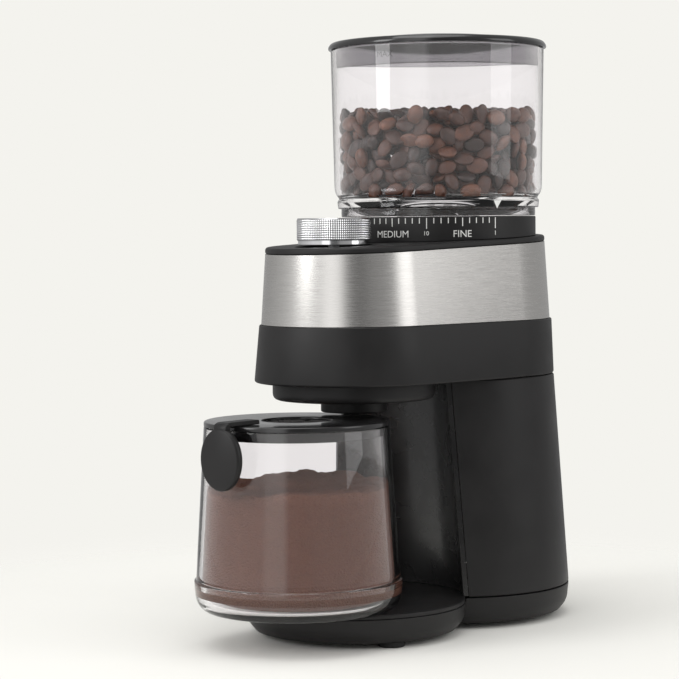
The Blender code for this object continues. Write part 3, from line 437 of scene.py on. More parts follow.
LOOKS = {
    "satin_black": moulded("satin_black", (0.0125, 0.0118, 0.0120), 0.46),
    "tower_black": moulded("tower_black", (0.0120, 0.0112, 0.0115), 0.42),
    "gloss_black": polished("gloss_black", (0.0125, 0.0120, 0.0125), 0.16),
    "panel_black": polished("panel_black", (0.0090, 0.0085, 0.0088), 0.26, 0.10),
    "dark_inner": moulded("dark_inner_plastic", (0.030, 0.030, 0.032), 0.55),
    "rubber": moulded("soft_rubber", (0.016, 0.016, 0.016), 0.80, 0.00006, 0.0008),
    "steel": brushed("brushed_steel", (0.60, 0.585, 0.565), 0.24),
    "can_steel": ground("plated_steel", (0.55, 0.55, 0.54), 0.32),
    "chrome": ground("polished_chrome", (0.82, 0.82, 0.83), 0.10, marks=0.000003),
    "hard_steel": ground("hardened_steel", (0.43, 0.43, 0.44), 0.34),
    "bronze": ground("sintered_bronze", (0.50, 0.34, 0.18), 0.45),
    "copper": ground("turned_copper", (0.72, 0.37, 0.22), 0.33),
    "iron": ground("laminated_iron", (0.24, 0.24, 0.25), 0.50),
    "nylon": moulded("natural_nylon", (0.74, 0.71, 0.62), 0.48),
    "board": moulded("circuit_board_green", (0.020, 0.140, 0.055), 0.40),
    "print": moulded("white_print", (0.78, 0.78, 0.76), 0.55),
    "dark_print": moulded("dark_print", (0.03, 0.03, 0.03), 0.55),
    "clear": clear("clear_plastic", (0.985, 0.972, 0.995)),
    "smoke": clear("smoke_plastic", (0.50, 0.49, 0.51), 0.03),
    "beans": roasted("roasted_beans"),
    "grounds": granular("ground_coffee"),
}
SLOT_LOOKS = {
    "black_plastic": "satin_black", "dark_inner_plastic": "dark_inner", "brushed_steel": "steel",
    "motor_steel": "can_steel", "chrome": "chrome", "clear_plastic": "clear", "smoke_plastic": "smoke",
    "hardened_steel": "hard_steel", "bronze": "bronze", "nylon": "nylon", "rubber": "rubber",
    "laminated_iron": "iron", "copper": "copper", "circuit_board": "board",
}


def dress_cad_nodes():
    """Gives every CAD node the material of its slot."""
    for node, obj in frame["nodes"].items():
        look = LOOKS[SLOT_LOOKS[SLOT_OF[node]]]
        obj.data.materials.clear()
        obj.data.materials.append(look)


# ================ casing
def arc(size, steps=4):
    """(inset, drop) pairs round a rounded edge, from the side to the top."""
    turns = [math.radians(90) * i / steps for i in range(steps + 1)]
    return [(size * (1 - math.cos(a)), size * (1 - math.sin(a))) for a in turns]


def build_lower_head(low, high, foot, top):
    """The black shell under the steel band; foot and top are its head sections."""
    def ring(share, inset, z):
        (rear, nose), (top_rear, top_nose) = foot, top
        middle = tuple(a + (b - a) * share for a, b in zip(rear, top_rear))
        return egg(middle, nose + (top_nose - nose) * share, inset, z)

    inside = WALL + 0.0012
    rings = [ring(0.0, inset, low + drop) for inset, drop in arc(0.0012)[::-1]]
    for inset, drop in arc(0.0006):
        rings.append(ring(1.0 - drop / (high - low), inset - BAND_PROUD, high - drop))
    rings += [ring(1.0, STEEL_THICK + 0.0008, high), ring(1.0, inside, high), ring(0.0, inside, low)]
    shell = loft("shell_lower_head", rings, (0, HOPPER_Y, 0), loop=True)
    stand_for(shell, "head_shell", LOOKS["satin_black"])


def build_head():
    foot, middle, top = (head_section(node) for node in ("head_shell", "steel_band", "top_cover"))
    top_rear, top_nose = top
    band = levels("steel_band")[0] - GAP
    at = (0, HOPPER_Y, 0)
    build_lower_head(levels("head_shell")[0], band, foot, middle)

    band_top = levels("top_cover")[0] - GAP - TOP_SLOPE * (SEAT_Y - top_nose - HOPPER_Y)
    outer, inner = ([egg(*middle, inset, band + GAP), egg(*top, inset, band_top, TOP_SLOPE)]
                    for inset in (0.0, STEEL_THICK))
    steel = loft("band_steel", outer + inner[::-1], at, loop=True)
    stand_for(steel, "steel_band", LOOKS["steel"])

    cover_top = levels("top_cover")[1] - TOP_SLOPE * (top_rear[0] + top_rear[1])
    rings = [egg(*top, 0.0004, band_top + GAP, TOP_SLOPE), egg(*top, 0, band_top + 0.0007, TOP_SLOPE)]
    for inset, drop in arc(0.0014, 5):
        rings.append(egg(*top, inset, cover_top - drop, TOP_SLOPE))
    cover = loft("cover_top", rings, at)
    through = band_top - 0.02
    well_floor = levels("dial_knob")[0] - 0.0018
    for name, y, radius, floor in (
            ("collar_hole", HOPPER_Y, radius_of("adjusting_ring") - 0.0040, through),
            ("knob_well", KNOB_Y, radius_of("dial_knob") + WELL_CLEARANCE, well_floor),
            ("shaft_hole", KNOB_Y, radius_of("encoder_shaft") + 0.0008, through)):
        above = cover_top + 0.01
        profile = [(0, above), (radius, above), (radius, floor), (0, floor)]
        cut(cover, lathe(name, profile, (0, y, 0), 96))
    stand_for(cover, "top_cover", LOOKS["satin_black"])


def build_collar():
    radius = radius_of("scale_collar")
    low, high = levels("scale_collar")
    foot = low + TOP_SLOPE * radius
    inner = radius - COLLAR_WALL
    profile = outline((radius, foot), (radius, high, 0.0006), (inner, high, 0.0006), (inner, foot))
    collar = lathe("collar_scale", profile, (0, HOPPER_Y, 0))
    for vertex in collar.data.vertices:
        if vertex.co.z < foot + 0.0001:
            vertex.co.z += TOP_SLOPE * vertex.co.y
    stand_for(collar, "scale_collar", LOOKS["satin_black"])


def flat_box(bm, low, high):
    """Adds a box from low to high to bm."""
    size = [b - a for a, b in zip(low, high)]
    middle = [(a + b) / 2 for a, b in zip(low, high)]
    place = Matrix.Translation(middle) @ Matrix.Diagonal((*size, 1.0))
    bmesh.ops.create_cube(bm, size=1.0, matrix=place)


def lettering(bm, text, height, middle, depth):
    """Adds upright letters to bm, centred on middle (across, up), through depth (low, high)."""
    curve = bpy.data.curves.new("lettering", "FONT")
    curve.body = text
    curve.extrude = 0.5
    curve.resolution_u = 3
    obj = bpy.data.objects.new("lettering", curve)
    bpy.context.scene.collection.objects.link(obj)
    mesh = shape_of(obj)
    places = np.array([v.co for v in mesh.vertices])
    low, high = places.min(0), places.max(0)
    scale = height / (high[1] - low[1])
    for vertex in mesh.vertices:
        across = middle[0] + (vertex.co.x - (low[0] + high[0]) / 2) * scale
        up = middle[1] + (vertex.co.y - (low[1] + high[1]) / 2) * scale
        vertex.co = (across, up, depth[0] if vertex.co.z < 0 else depth[1])
    bm.from_mesh(mesh)
    bpy.data.objects.remove(obj)
    bpy.data.meshes.remove(mesh)


def wrap(name, bm, radius, look, body):
    """Bends flat artwork (across, up, depth) round the hopper's axis, at that radius."""
    for vertex in bm.verts:
        across, up, depth = vertex.co
        angle = across / radius
        reach = radius + depth
        vertex.co = (reach * math.cos(angle), HOPPER_Y + reach * math.sin(angle), up)
    mesh = bpy.data.meshes.new(name)
    bmesh.ops.remove_doubles(bm, verts=bm.verts, dist=1e-6)
    bmesh.ops.recalc_face_normals(bm, faces=bm.faces)
    bm.to_mesh(mesh)
    bm.free()
    obj = bpy.data.objects.new(name, mesh)
    bpy.context.scene.collection.objects.link(obj)
    mesh.materials.append(look)
    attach(obj, body)


def build_scale():
    """White marks, numbers and words round the collar, from the finest setting."""
    radius = radius_of("scale_collar")
    top = levels("scale_collar")[1] - 0.0007
    depth = (-0.00010, 0.00005)
    bm = bmesh.new()
    for mark in range(SCALE_MARKS + 1):
        across = math.radians(SCALE_START + SCALE_STEP * mark) * radius
        length = 0.0055 if mark % 10 == 0 else 0.0043 if mark % 5 == 0 else 0.0028
        flat_box(bm, (across - TICK_HALF, top - length, depth[0]), (across + TICK_HALF, top, depth[1]))
        if mark % 10 == 0:
            lettering(bm, str(mark or 1), 0.0021, (across, top - 0.0078), depth)
        if mark in SCALE_WORDS:
            lettering(bm, SCALE_WORDS[mark], 0.0034, (across, top - 0.0081), depth)
    wrap("print_scale", bm, radius, LOOKS["print"], "housing")


def build_tower():
    low, high = levels("rear_housing")
    (rear, behind), _ = head_section("head_shell")
    foot_radius = radius_of("rear_housing")
    foot_behind = box("rear_housing")[1][1] - HOPPER_Y - foot_radius
    jar_top = radius_of("jar_lid")
    jar_ring = radius_of("jar")
    jar_low, jar_high = levels("jar")
    taper = (jar_ring - jar_top) / (jar_high - jar_low - JAR_RING)
    tray = levels("jar_tray")[1]

    def seat(z, offset=0.0):
        """Radius of the hollow that the jar slides into, at height z."""
        return jar_ring + SEAT_CLEARANCE - taper * (z - tray - JAR_RING) + offset

    def tower_ring(z, inset):
        share = (z - low) / (high - low)
        radius = foot_radius + (rear - foot_radius) * share - inset
        return circle(radius, z, middle=foot_behind + (behind - foot_behind) * share)

    def cone(name, offset, z_low, z_high):
        sides = [(seat(z_high, offset), z_high), (seat(z_low, offset), z_low)]
        return lathe(name, [(0, z_high), *sides, (0, z_low)], (0, SEAT_Y, 0))

    rounded = [(0.0004, low), (0.0, low + 0.0005), (0.0, high - 0.0006), (0.0005, high)]
    rings = [tower_ring(z, inset) for inset, z in rounded]
    rings += [tower_ring(high, WALL), tower_ring(low, WALL)]
    housing = loft("housing_rear", rings, (0, HOPPER_Y, 0), loop=True)
    cut(housing, cone("seat_cut", WALL + GAP, low - 0.01, high + 0.01))
    gland = box("cord_gland")
    gland_z = (gland[0][2] + gland[1][2]) / 2
    hole = lathe("gland_cut", [(0, 0.02), (0.0060, 0.02), (0.0060, -0.02), (0, -0.02)],
                 (0, gland[1][1], gland_z), 64)
    hole.rotation_euler = (math.radians(90), 0, 0)
    cut(housing, hole)
    stand_for(housing, "rear_housing", LOOKS["tower_black"])

    panel_low = levels("cradle_panel")[0]
    profile = [(seat(panel_low, WALL), panel_low), (seat(high, WALL), high), (seat(high), high),
               (seat(panel_low), panel_low)]
    panel = lathe("panel_cradle", profile, (0, SEAT_Y, 0))
    ends = [tower_ring(panel_low - 0.005, 0), tower_ring(high + 0.005, 0)]
    cut(panel, loft("tower_guide", ends, (0, HOPPER_Y, 0)), "INTERSECT")
    stand_for(panel, "cradle_panel", LOOKS["panel_black"])


def build_base():
    low, top = levels("base_pan")
    rear_low, rear_high = box("base_pan")
    rear = radius_of("base_pan")
    behind = rear_high[1] - rear - HOPPER_Y
    lobe = SEAT_Y - rear_low[1]
    tray_low, tray_top = levels("jar_tray")
    lobe_top = tray_low - GAP

    def dish(radius, high):
        return outline((0, high), (radius, high, 0.0006), (radius - 0.0010, low + 0.0042, 0.0030),
                       (radius - 0.0045, low), (0, low), steps=6)

    def hollow(name, radius, y, *mouth):
        """Takes the inside out of the pan: a straight well with a sloping foot."""
        foot = [(radius, low + 0.008), (radius - 0.004, low + WALL), (0, low + WALL)]
        cut(pan, lathe(name, [(0, 0.03), *mouth, *foot], (0, y, 0)))

    pan = lathe("pan_base", dish(rear, top), (0, HOPPER_Y + behind, 0))
    cut(pan, lathe("lobe_add", dish(lobe, lobe_top), (0, SEAT_Y, 0)), "UNION")
    hollow("pan_cut", rear - WALL, HOPPER_Y + behind, (rear - WALL, 0.03))
    rim = lobe + GAP
    hollow("lobe_cut", lobe - WALL, SEAT_Y, (rim, 0.03), (rim, lobe_top), (lobe - WALL, lobe_top))
    stand_for(pan, "base_pan", LOOKS["satin_black"])

    radius = radius_of("jar_tray")
    profile = outline((0, tray_top), (radius, tray_top, 0.0007), (radius, tray_low, 0.0002), (0, tray_low))
    stand_for(lathe("tray_jar", profile, (0, SEAT_Y, 0)), "jar_tray", LOOKS["satin_black"])


def build_feet():
    for place in ("front_left", "front_right", "rear_left", "rear_right"):
        node = "foot_" + place
        (x0, y0, z0), (x1, y1, z1) = box(node)
        radius = (x1 - x0) / 2
        profile = outline((0, z1), (radius, z1), (radius, z0, 0.0007), (radius - 0.0018, z0, 0.0004),
                          (radius - 0.0022, z0 + 0.0005, 0.0002), (0, z0 + 0.0005))
        foot = lathe("pad_" + node, profile, ((x0 + x1) / 2, (y0 + y1) / 2, 0), 48)
        stand_for(foot, node, LOOKS["rubber"])


def build_gland():
    low, high = box("cord_gland")
    radius = (high[0] - low[0]) / 2
    length = high[1] - low[1]
    profile = outline((GLAND_BORE, 0, 0.0004), (radius, 0, 0.0006), (radius, -0.0012),
                      (GLAND_NECK, -0.0012), (GLAND_NECK, -length), (GLAND_BORE, -length))
    gland = lathe("gland_cord", profile, (0, high[1], (low[2] + high[2]) / 2), 64)
    gland.rotation_euler = (math.radians(-90), 0, 0)
    stand_for(gland, "cord_gland", LOOKS["rubber"])


def build_underside():
    low, high = levels("spout_shroud")
    radius = radius_of("spout_shroud")
    bore = radius_of("outlet_spout") - 0.0035
    profile = outline((radius, high), (radius, low, 0.0036), (bore, low, 0.0008), (bore, low + 0.0020),
                      (radius - WALL, low + 0.0020, 0.0010), (radius - WALL, high))
    stand_for(lathe("shroud_spout", profile, (0, SEAT_Y, 0)), "spout_shroud", LOOKS["satin_black"])

    low, high = levels("outlet_spout")
    flange = radius_of("outlet_spout")
    outer = flange - 0.0040
    inner = outer - 0.0020
    under = high - 0.0020
    profile = outline((inner, low, 0.0005), (outer, low, 0.0010), (outer, under), (flange, under),
                      (flange, high), (inner, high))
    stand_for(lathe("spout_outlet", profile, (0, SEAT_Y, 0), 96), "outlet_spout", LOOKS["satin_black"])


# ================ hopper
def hopper_levels():
    """The heights of the hopper's floor, on top of its thick foot, and of its rim."""
    collar_top = levels("scale_collar")[1]
    return collar_top + GAP + NECK + FLANGE, levels("hopper")[1]


def hopper_inside(z):
    """Inside radius of the hopper's wall at height z."""
    floor, rim = hopper_levels()
    top = radius_of("hopper")
    foot = top - FOOT_INSET
    share = (z - floor - 0.0060) / (rim - floor - 0.0060)
    return foot + (top - foot) * share - CLEAR_WALL


def build_hopper():
    floor, rim = hopper_levels()
    low = levels("scale_collar")[1] + GAP
    throat_low = levels("hopper")[0]
    flange_low = low + NECK
    top = radius_of("hopper")
    foot = top - FOOT_INSET
    neck = radius_of("scale_collar") - 0.0002
    under = flange_low + 0.0006
    throat = THROAT + CLEAR_WALL
    outside = [
        (top, rim, 0.0005), (foot, floor + 0.0040, 0.0030), (foot - 0.0024, floor + 0.0008, 0.0006),
        (foot - 0.0014, floor - 0.0008, 0.0006), (foot - 0.0018, flange_low, 0.0006),
        (neck, flange_low, 0.0003), (neck, low, 0.0004), (neck - 0.0022, low),
        (neck - 0.0026, under, 0.0010), (throat, under - 0.0040, 0.0015), (throat, throat_low)]
    inside = [
        (THROAT, throat_low), (THROAT, under - 0.0012, 0.0025), (foot - 0.0080, floor + 0.0006, 0.0040),
        (foot - CLEAR_WALL, floor + 0.0034, 0.0030), (top - CLEAR_WALL, rim, 0.0005)]
    hopper = lathe("shell_hopper", outline(*outside, *inside), (0, HOPPER_Y, 0))
    stand_for(hopper, "hopper", LOOKS["clear"])
    build_pointer(foot - 0.0018, flange_low - 0.0008, floor - 0.0012)


def build_pointer(radius, tip, high):
    """A white triangle on the hopper's foot that points down at the finest mark."""
    across = math.radians(SCALE_START) * radius
    bm = bmesh.new()
    corners = []
    for depth in (0.00004, 0.00012):
        for side, up, lean in ((-POINTER_HALF, high, 0.0006), (POINTER_HALF, high, 0.0006), (0, tip, 0.0)):
            corners.append(bm.verts.new((across + side, up, depth + lean)))
    bm.faces.new(corners[0:3])
    bm.faces.new(corners[3:6])
    for i in range(3):
        j = (i + 1) % 3
        bm.faces.new((corners[i], corners[j], corners[3 + j], corners[3 + i]))
    wrap("print_pointer", bm, radius, LOOKS["print"], "hopper")


def build_lid():
    low, high = levels("hopper_lid")
    edge = radius_of("hopper_lid")
    wall = radius_of("hopper") - CLEAR_WALL
    rise = high - low - 0.0024
    dome = [(edge * share, high - rise * share ** 2) for share in np.linspace(0, 0.93, 14)]
    rest = outline((edge - 0.0016, low + 0.0036, 0.0012), (edge, low + 0.0016, 0.0010), (edge, low, 0.0006),
                   (wall, low), (wall, low + 0.0012), (edge * 0.6, low + 0.0034), (0, low + 0.0050))
    stand_for(lathe("dome_lid", dome + rest, (0, HOPPER_Y, 0)), "hopper_lid", LOOKS["gloss_black"])

    low, high = levels("lid_skirt")
    outer = radius_of("lid_skirt")
    inner = outer - SKIRT_WALL
    profile = outline((outer, high), (outer, low, 0.0006), (inner, low, 0.0006), (inner, high))
    stand_for(lathe("skirt_lid", profile, (0, HOPPER_Y, 0)), "lid_skirt", LOOKS["smoke"])

    bm = bmesh.new()
    across = math.radians(FILL_MARK_TURN) * outer
    lettering(bm, "MAX", 0.0030, (across, low + 0.0052), (0.00003, 0.00012))
    wrap("print_fill_mark", bm, outer, LOOKS["dark_print"], "hopper_lid")


def bean_shape(rows=9, columns=14):
    """Points and faces of a bean, 2 long: one side round, the other flatter with a groove."""
    points = [(1.0, 0.0, 0.0)]
    for row in range(1, rows):
        v = math.pi * row / rows
        for column in range(columns):
            u = 2 * math.pi * column / columns
            x, y, z = math.cos(v), math.sin(v) * math.cos(u), math.sin(v) * math.sin(u)
            if z < 0:
                z = 0.52 * z + 0.30 * math.sin(v) * math.exp(-((y / 0.16) ** 2))
            points.append((x, y, z))
    points.append((-1.0, 0.0, 0.0))
    faces = []
    last = len(points) - 1
    for column in range(columns):
        after = (column + 1) % columns
        faces.append((0, 1 + column, 1 + after))
        faces.append((last, last - columns + after, last - columns + column))
        for row in range(rows - 2):
            a, b = 1 + row * columns, 1 + (row + 1) * columns
            faces.append((a + column, b + column, b + after, a + after))
    return np.array(points), faces


def settle(spots, reach, floor, top, size, rounds=70):
    """Pushes apart spots closer than size, inside a cylinder of that reach between floor and top."""
    for _ in range(rounds):
        apart = spots[:, None, :] - spots[None, :, :]
        distance = np.sqrt((apart ** 2).sum(-1)) + np.eye(len(spots))
        push = np.where(distance < size, (size - distance) / distance * 0.32, 0.0)
        np.fill_diagonal(push, 0.0)
        spots = spots + (apart * push[:, :, None]).sum(1)
        spots[:, 2] = np.clip(spots[:, 2], floor, top)
        radial = np.hypot(spots[:, 0], spots[:, 1])
        over = np.maximum(1.0, radial / reach)
        spots[:, :2] /= over[:, None]
    return spots


def bean_spots(low, top, reach):
    """Where the beans' middles lie once they have settled."""
    rng = np.random.default_rng(11)
    turn = rng.uniform(0, 2 * math.pi, BEAN_COUNT)
    radial = reach * np.sqrt(rng.uniform(0, 1, BEAN_COUNT))
    height = rng.uniform(low, top, BEAN_COUNT)
    spots = np.stack([radial * np.cos(turn), radial * np.sin(turn), height], -1)
    return settle(spots, reach, low, top, BEAN_SPACING)


def bean_axes(spot, upright, spread):
    """Columns along, across and through a bean: its thin way faces up or the hopper's axis."""
    thin = Vector((0, 0, 1)) if upright else Vector((-spot[0], -spot[1], 0)).normalized()
    flip = random.choice((-1, 1))
    thin = (thin * flip + Vector([random.gauss(0, spread) for _ in range(3)])).normalized()
    side = thin.orthogonal().normalized()
    side = Matrix.Rotation(random.uniform(0, 2 * math.pi), 3, thin) @ side
    return np.array([side, thin.cross(side), thin]).T


def build_beans():
    """Roasted beans, settled in the hopper: those that can be seen, at its wall and on top."""
    random.seed(11)
    half = np.array(BEAN_HALF)
    floor, _ = hopper_levels()
    low = floor + 0.0036
    top = floor + BEAN_LEVEL - half[2]
    reach = hopper_inside(low) - 0.0006 - half[2]
    shape, faces = bean_shape()
    points, all_faces, tones = [], [], []
    for spot in bean_spots(low, top, reach):
        radial = math.hypot(spot[0], spot[1])
        near_top = spot[2] > top - 0.013
        near_wall = radial > reach - 0.004
        if radial < reach - 0.013 and not near_top:
            continue
        axes = bean_axes(spot, near_top and not near_wall, 0.35 if near_wall else 0.75)
        scale = half * random.uniform(0.86, 1.06)
        places = (shape * scale) @ axes.T + spot
        limit = hopper_inside(np.maximum(places[:, 2], low)) - GAP
        past = limit / np.hypot(places[:, 0], places[:, 1])
        places[:, :2] *= np.minimum(1.0, past)[:, None]
        places[:, 2] = np.maximum(places[:, 2], floor + 0.0012)
        offset = len(points)
        points.extend(places)
        all_faces.extend([tuple(offset + i for i in face) for face in faces])
        tones.extend([random.uniform(-0.18, 0.42)] * len(shape))
    mesh = bpy.data.meshes.new("coffee_beans")
    mesh.from_pydata([tuple(p) for p in points], [], all_faces)
    mesh.shade_smooth()
    tone = mesh.attributes.new("tone", "FLOAT", "POINT")
    tone.data.foreach_set("value", np.array(tones, np.float32))
    beans = bpy.data.objects.new("coffee_beans", mesh)
    beans.location = (0, HOPPER_Y, 0)
    bpy.context.scene.collection.objects.link(beans)
    mesh.materials.append(LOOKS["beans"])
    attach(beans, "hopper")


# ================ knob
def knurled_ring(base, height, row, columns):
    """A ring of the knurl; row counts quarter steps up it, as columns does round it."""
    def quarter(step):
        return min(step % 4, 4 - step % 4)

    points = []
    for i in range(columns):
        reach = base + KNURL_DEPTH * min(quarter(i), quarter(row), 1.6) / 1.6
        turn = 2 * math.pi * i / columns
        points.append((reach * math.cos(turn), reach * math.sin(turn), height))
    return points


def build_knob():
    low, high = levels("dial_knob")
    radius = radius_of("dial_knob")
    at = (0, KNOB_Y, 0)
    knurl_low, knurl_high = low + 0.0026, high - 0.0008
    base = radius - KNURL_DEPTH
    columns, rows = KNURL_COLUMNS * 4, KNURL_ROWS * 4
    rim, skirt, hub, bore = radius - 0.0034, radius - 0.0032, 0.0062, 0.0033
    web = high - 0.0055

    foot = [(skirt, low), (radius - 0.0010, low), (radius - 0.0007, low + 0.0004),
            (radius - 0.0007, low + 0.0022), (base, low + 0.0024)]
    crown = [(radius - 0.0002, high - 0.0006), (radius - 0.0005, high - 0.0001), (radius - 0.0008, high),
             (rim + 0.0003, high), (rim, high - 0.0003), (rim, high - 0.0014), (bore, high - 0.0014),
             (bore, low + 0.0012), (hub, low + 0.0012), (hub, web), (skirt, web)]
    rings = [circle(reach, height, columns) for reach, height in foot]
    for row in range(rows + 1):
        height = knurl_low + (knurl_high - knurl_low) * row / rows
        rings.append(knurled_ring(base, height, row, columns))
    rings += [circle(reach, height, columns) for reach, height in crown]
    stand_for(loft("knob_dial", rings, at, loop=True, smooth=28), "dial_knob", LOOKS["chrome"])

    cap = radius_of("knob_cap")
    cap_low, cap_high = levels("knob_cap")
    profile = outline((0, cap_high), (cap - 0.0012, cap_high - 0.0001, 0.0004),
                      (cap, cap_high - 0.0006, 0.0003), (cap, cap_low), (0, cap_low))
    stand_for(lathe("cap_knob", profile, at), "knob_cap", LOOKS["chrome"])


# ================ jar
def build_jar():
    low, rim = levels("jar")
    ring = low + JAR_RING
    widest, top = radius_of("jar"), radius_of("jar_lid")
    inside = widest - CLEAR_WALL
    outer = [
        (0, low), (widest - 0.0050, low, 0.0020), (widest - 0.0008, low + 0.0040, 0.0040),
        (widest, ring - 0.0022, 0.0006), (widest, ring - 0.0002, 0.0005),
        (widest - 0.0010, ring + 0.0002, 0.0004), (top, rim, 0.0005)]
    inner = [
        (top - CLEAR_WALL, rim, 0.0005), (inside - 0.0010, ring, 0.0030),
        (inside - 0.0030, low + 0.0046, 0.0030), (inside - 0.0100, low + JAR_FLOOR, 0.0030),
        (0, low + JAR_FLOOR)]
    profile = outline(*outer, *inner, steps=6)
    at = (0, JAR_Y, 0)
    stand_for(lathe("shell_jar", profile, at), "jar", LOOKS["clear"])

    lid_low, lid_top = levels("jar_lid")
    base = rim + GAP
    plug = top - CLEAR_WALL - 0.0005
    hole = JAR_LID_HOLE
    profile = outline((hole, lid_top, 0.0007), (top, lid_top, 0.0010), (top, base, 0.0003), (plug, base),
                      (plug, lid_low, 0.0005), (plug - 0.0016, lid_low, 0.0005), (plug - 0.0016, base),
                      (hole, base, 0.0003))
    stand_for(lathe("lid_jar", profile, at), "jar_lid", LOOKS["gloss_black"])
    build_grounds(low, rim, inside, top)
    build_handle()


def build_grounds(low, rim, inside, top):
    """Ground coffee in the jar, heaped unevenly."""
    floor = low + JAR_FLOOR + GAP
    level = low + JAR_FLOOR + GROUNDS_LEVEL
    ring = low + JAR_RING
    columns, rows, steps = 240, 46, 11
    widest = inside - 0.0010 - GAP

    def wall(z):
        """Inside radius of the jar at height z."""
        if z > ring:
            return widest - (z - ring) / (rim - ring) * (inside - 0.0010 - top + CLEAR_WALL)
        share = (ring - z) / (ring - floor)
        return widest - 0.0012 * share - 0.0082 * max(0.0, (share - 0.72) / 0.28) ** 1.6

    def surface(x, y):
        heap = noise.fractal(Vector((x, y, 0.3)) * 46.0, 0.8, 2.0, 4)
        crumbs = noise.fractal(Vector((x, y, 1.7)) * 420.0, 0.7, 2.1, 3)
        return level + 0.0026 * heap + 0.0006 * crumbs + 0.03 * x

    heights = [floor + (level - 0.004 - floor) * step / steps for step in range(steps + 1)]
    rings = [circle(wall(z), z, columns) for z in heights]
    for row in range(rows):
        flat = circle(wall(level) * (1 - row / rows), level, columns)
        rings.append([(x, y, surface(x, y)) for x, y, _ in flat])
    grounds = loft("ground_coffee", rings, (0, JAR_Y, 0), smooth=180)
    grounds.data.materials.append(LOOKS["grounds"])
    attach(grounds, "jar")


def build_paddle(front, back, half_width, low, high):
    """An upright oval plate with rounded edges, between two reaches from the jar's axis."""
    centre, half_height, edge = (low + high) / 2, (high - low) / 2, 0.0011
    profile = [(front, edge), (front - 0.0003, edge * 0.45), (front - edge, 0.0),
               (back + edge, 0.0), (back + 0.0003, edge * 0.45), (back, edge)]
    turns = [2 * math.pi * i / 96 for i in range(96)]
    rings = []
    for reach, inset in profile:
        wide, tall = half_width - inset, half_height - inset
        rings.append([(wide * math.cos(turn), -reach, centre + tall * math.sin(turn)) for turn in turns])
    return loft("paddle_add", rings, (0, JAR_Y, 0))


def build_handle():
    """A strap along the jar's lid that turns down over the rim into an oval paddle."""
    low, high = box("jar_handle")
    front = JAR_Y - low[1]
    start = JAR_Y - high[1]
    under = high[2] - STRAP_THICK
    back = front - PADDLE_THICK
    nose = front - 0.0008
    side = outline((start, under), (back, under), (back, under - 0.0080), (nose, under - 0.0080),
                   (nose, high[2], 0.0040), (start, high[2], 0.0010))
    middle = ((start + back) / 2, high[2] - STRAP_THICK / 2)
    edge = 0.0004
    rings = []
    for x, shrink in ((-STRAP_HALF, edge), (edge - STRAP_HALF, 0.0),
                      (STRAP_HALF - edge, 0.0), (STRAP_HALF, edge)):
        rings.append([(x, -(reach + math.copysign(shrink, middle[0] - reach)),
                       z + math.copysign(shrink, middle[1] - z)) for reach, z in side])
    strap = loft("handle_jar", rings, (0, JAR_Y, 0))
    half_width = (high[0] - low[0]) / 2
    cut(strap, build_paddle(front, back - 0.0004, half_width, low[2], under - 0.0006), "UNION")
    stand_for(strap, "jar_handle", LOOKS["satin_black"])


# ================ stage
VIEW_TURN = 40.834        # degrees from the front, towards +X
VIEW_DISTANCE = 1.1955    # from the hopper's axis
VIEW_SIDE = -0.0528       # how far the viewer stands to the side of that axis
VIEW_HEIGHT = 0.2061
VIEW_PITCH = 2.856        # degrees down
VIEW_ROLL = -0.555
LENS = 119.7              # millimetres, on a sensor 36 mm wide
FLOOR_RADIUS = 4.0
PALE = (0.905, 0.896, 0.855)
STUDIO = (                # (turn, brightness): 0.5 is where the viewer stands, 0.75 to its right
    (0.0, 0.45), (0.12, 0.40), (0.22, 0.55), (0.30, 0.75), (0.385, 0.80), (0.405, 1.50), (0.455, 1.50),
    (0.475, 0.15), (0.525, 0.12), (0.56, 0.30), (0.66, 0.38), (0.75, 0.42), (0.88, 0.42), (1.0, 0.45))


def build_camera():
    turn, pitch, roll = (math.radians(a) for a in (VIEW_TURN, VIEW_PITCH, VIEW_ROLL))
    ahead = Vector((-math.sin(turn), math.cos(turn), 0))
    right = Vector((math.cos(turn), math.sin(turn), 0))
    up = Vector((0, 0, 1))
    place = Vector((0, HOPPER_Y, VIEW_HEIGHT)) - ahead * VIEW_DISTANCE + right * VIEW_SIDE
    look = ahead * math.cos(pitch) - up * math.sin(pitch)
    high = up * math.cos(pitch) + ahead * math.sin(pitch)
    across = right * math.cos(roll) + high * math.sin(roll)
    above = high * math.cos(roll) - right * math.sin(roll)
    camera = bpy.data.objects.new("camera", bpy.data.cameras.new("camera"))
    camera.data.lens = LENS
    camera.data.sensor_width = 36.0
    camera.data.clip_end = 20.0
    bpy.context.scene.collection.objects.link(camera)
    rotation = Matrix((across, above, -look)).transposed().to_4x4()
    camera.matrix_world = Matrix.Translation(place) @ rotation
    bpy.context.scene.camera = camera


def build_floor():
    """A pale floor that fades into the backdrop away from the grinder."""
    points = circle(FLOOR_RADIUS, 0.0, 96)
    floor = make("floor", points, [list(range(len(points)))])
    material = bpy.data.materials.new("pale_floor")
    material.use_nodes = True
    tree = material.node_tree
    shader = tree.nodes["Principled BSDF"]
    shader.inputs["Base Color"].default_value = (0.83, 0.822, 0.788, 1.0)
    shader.inputs["Roughness"].default_value = 0.9
    shader.inputs["Specular IOR Level"].default_value = 0.0
    place = tree.nodes.new("ShaderNodeTexCoord")
    length = tree.nodes.new("ShaderNodeVectorMath")
    length.operation = "LENGTH"
    fade = tree.nodes.new("ShaderNodeMapRange")
    fade.interpolation_type = "SMOOTHSTEP"
    for socket, value in (("From Min", 0.13), ("From Max", 0.42), ("To Min", 1.0), ("To Max", 0.0)):
        fade.inputs[socket].default_value = value
    tree.links.new(place.outputs["Object"], length.inputs[0])
    tree.links.new(length.outputs["Value"], fade.inputs["Value"])
    tree.links.new(fade.outputs["Result"], shader.inputs["Alpha"])
    floor.data.materials.append(material)


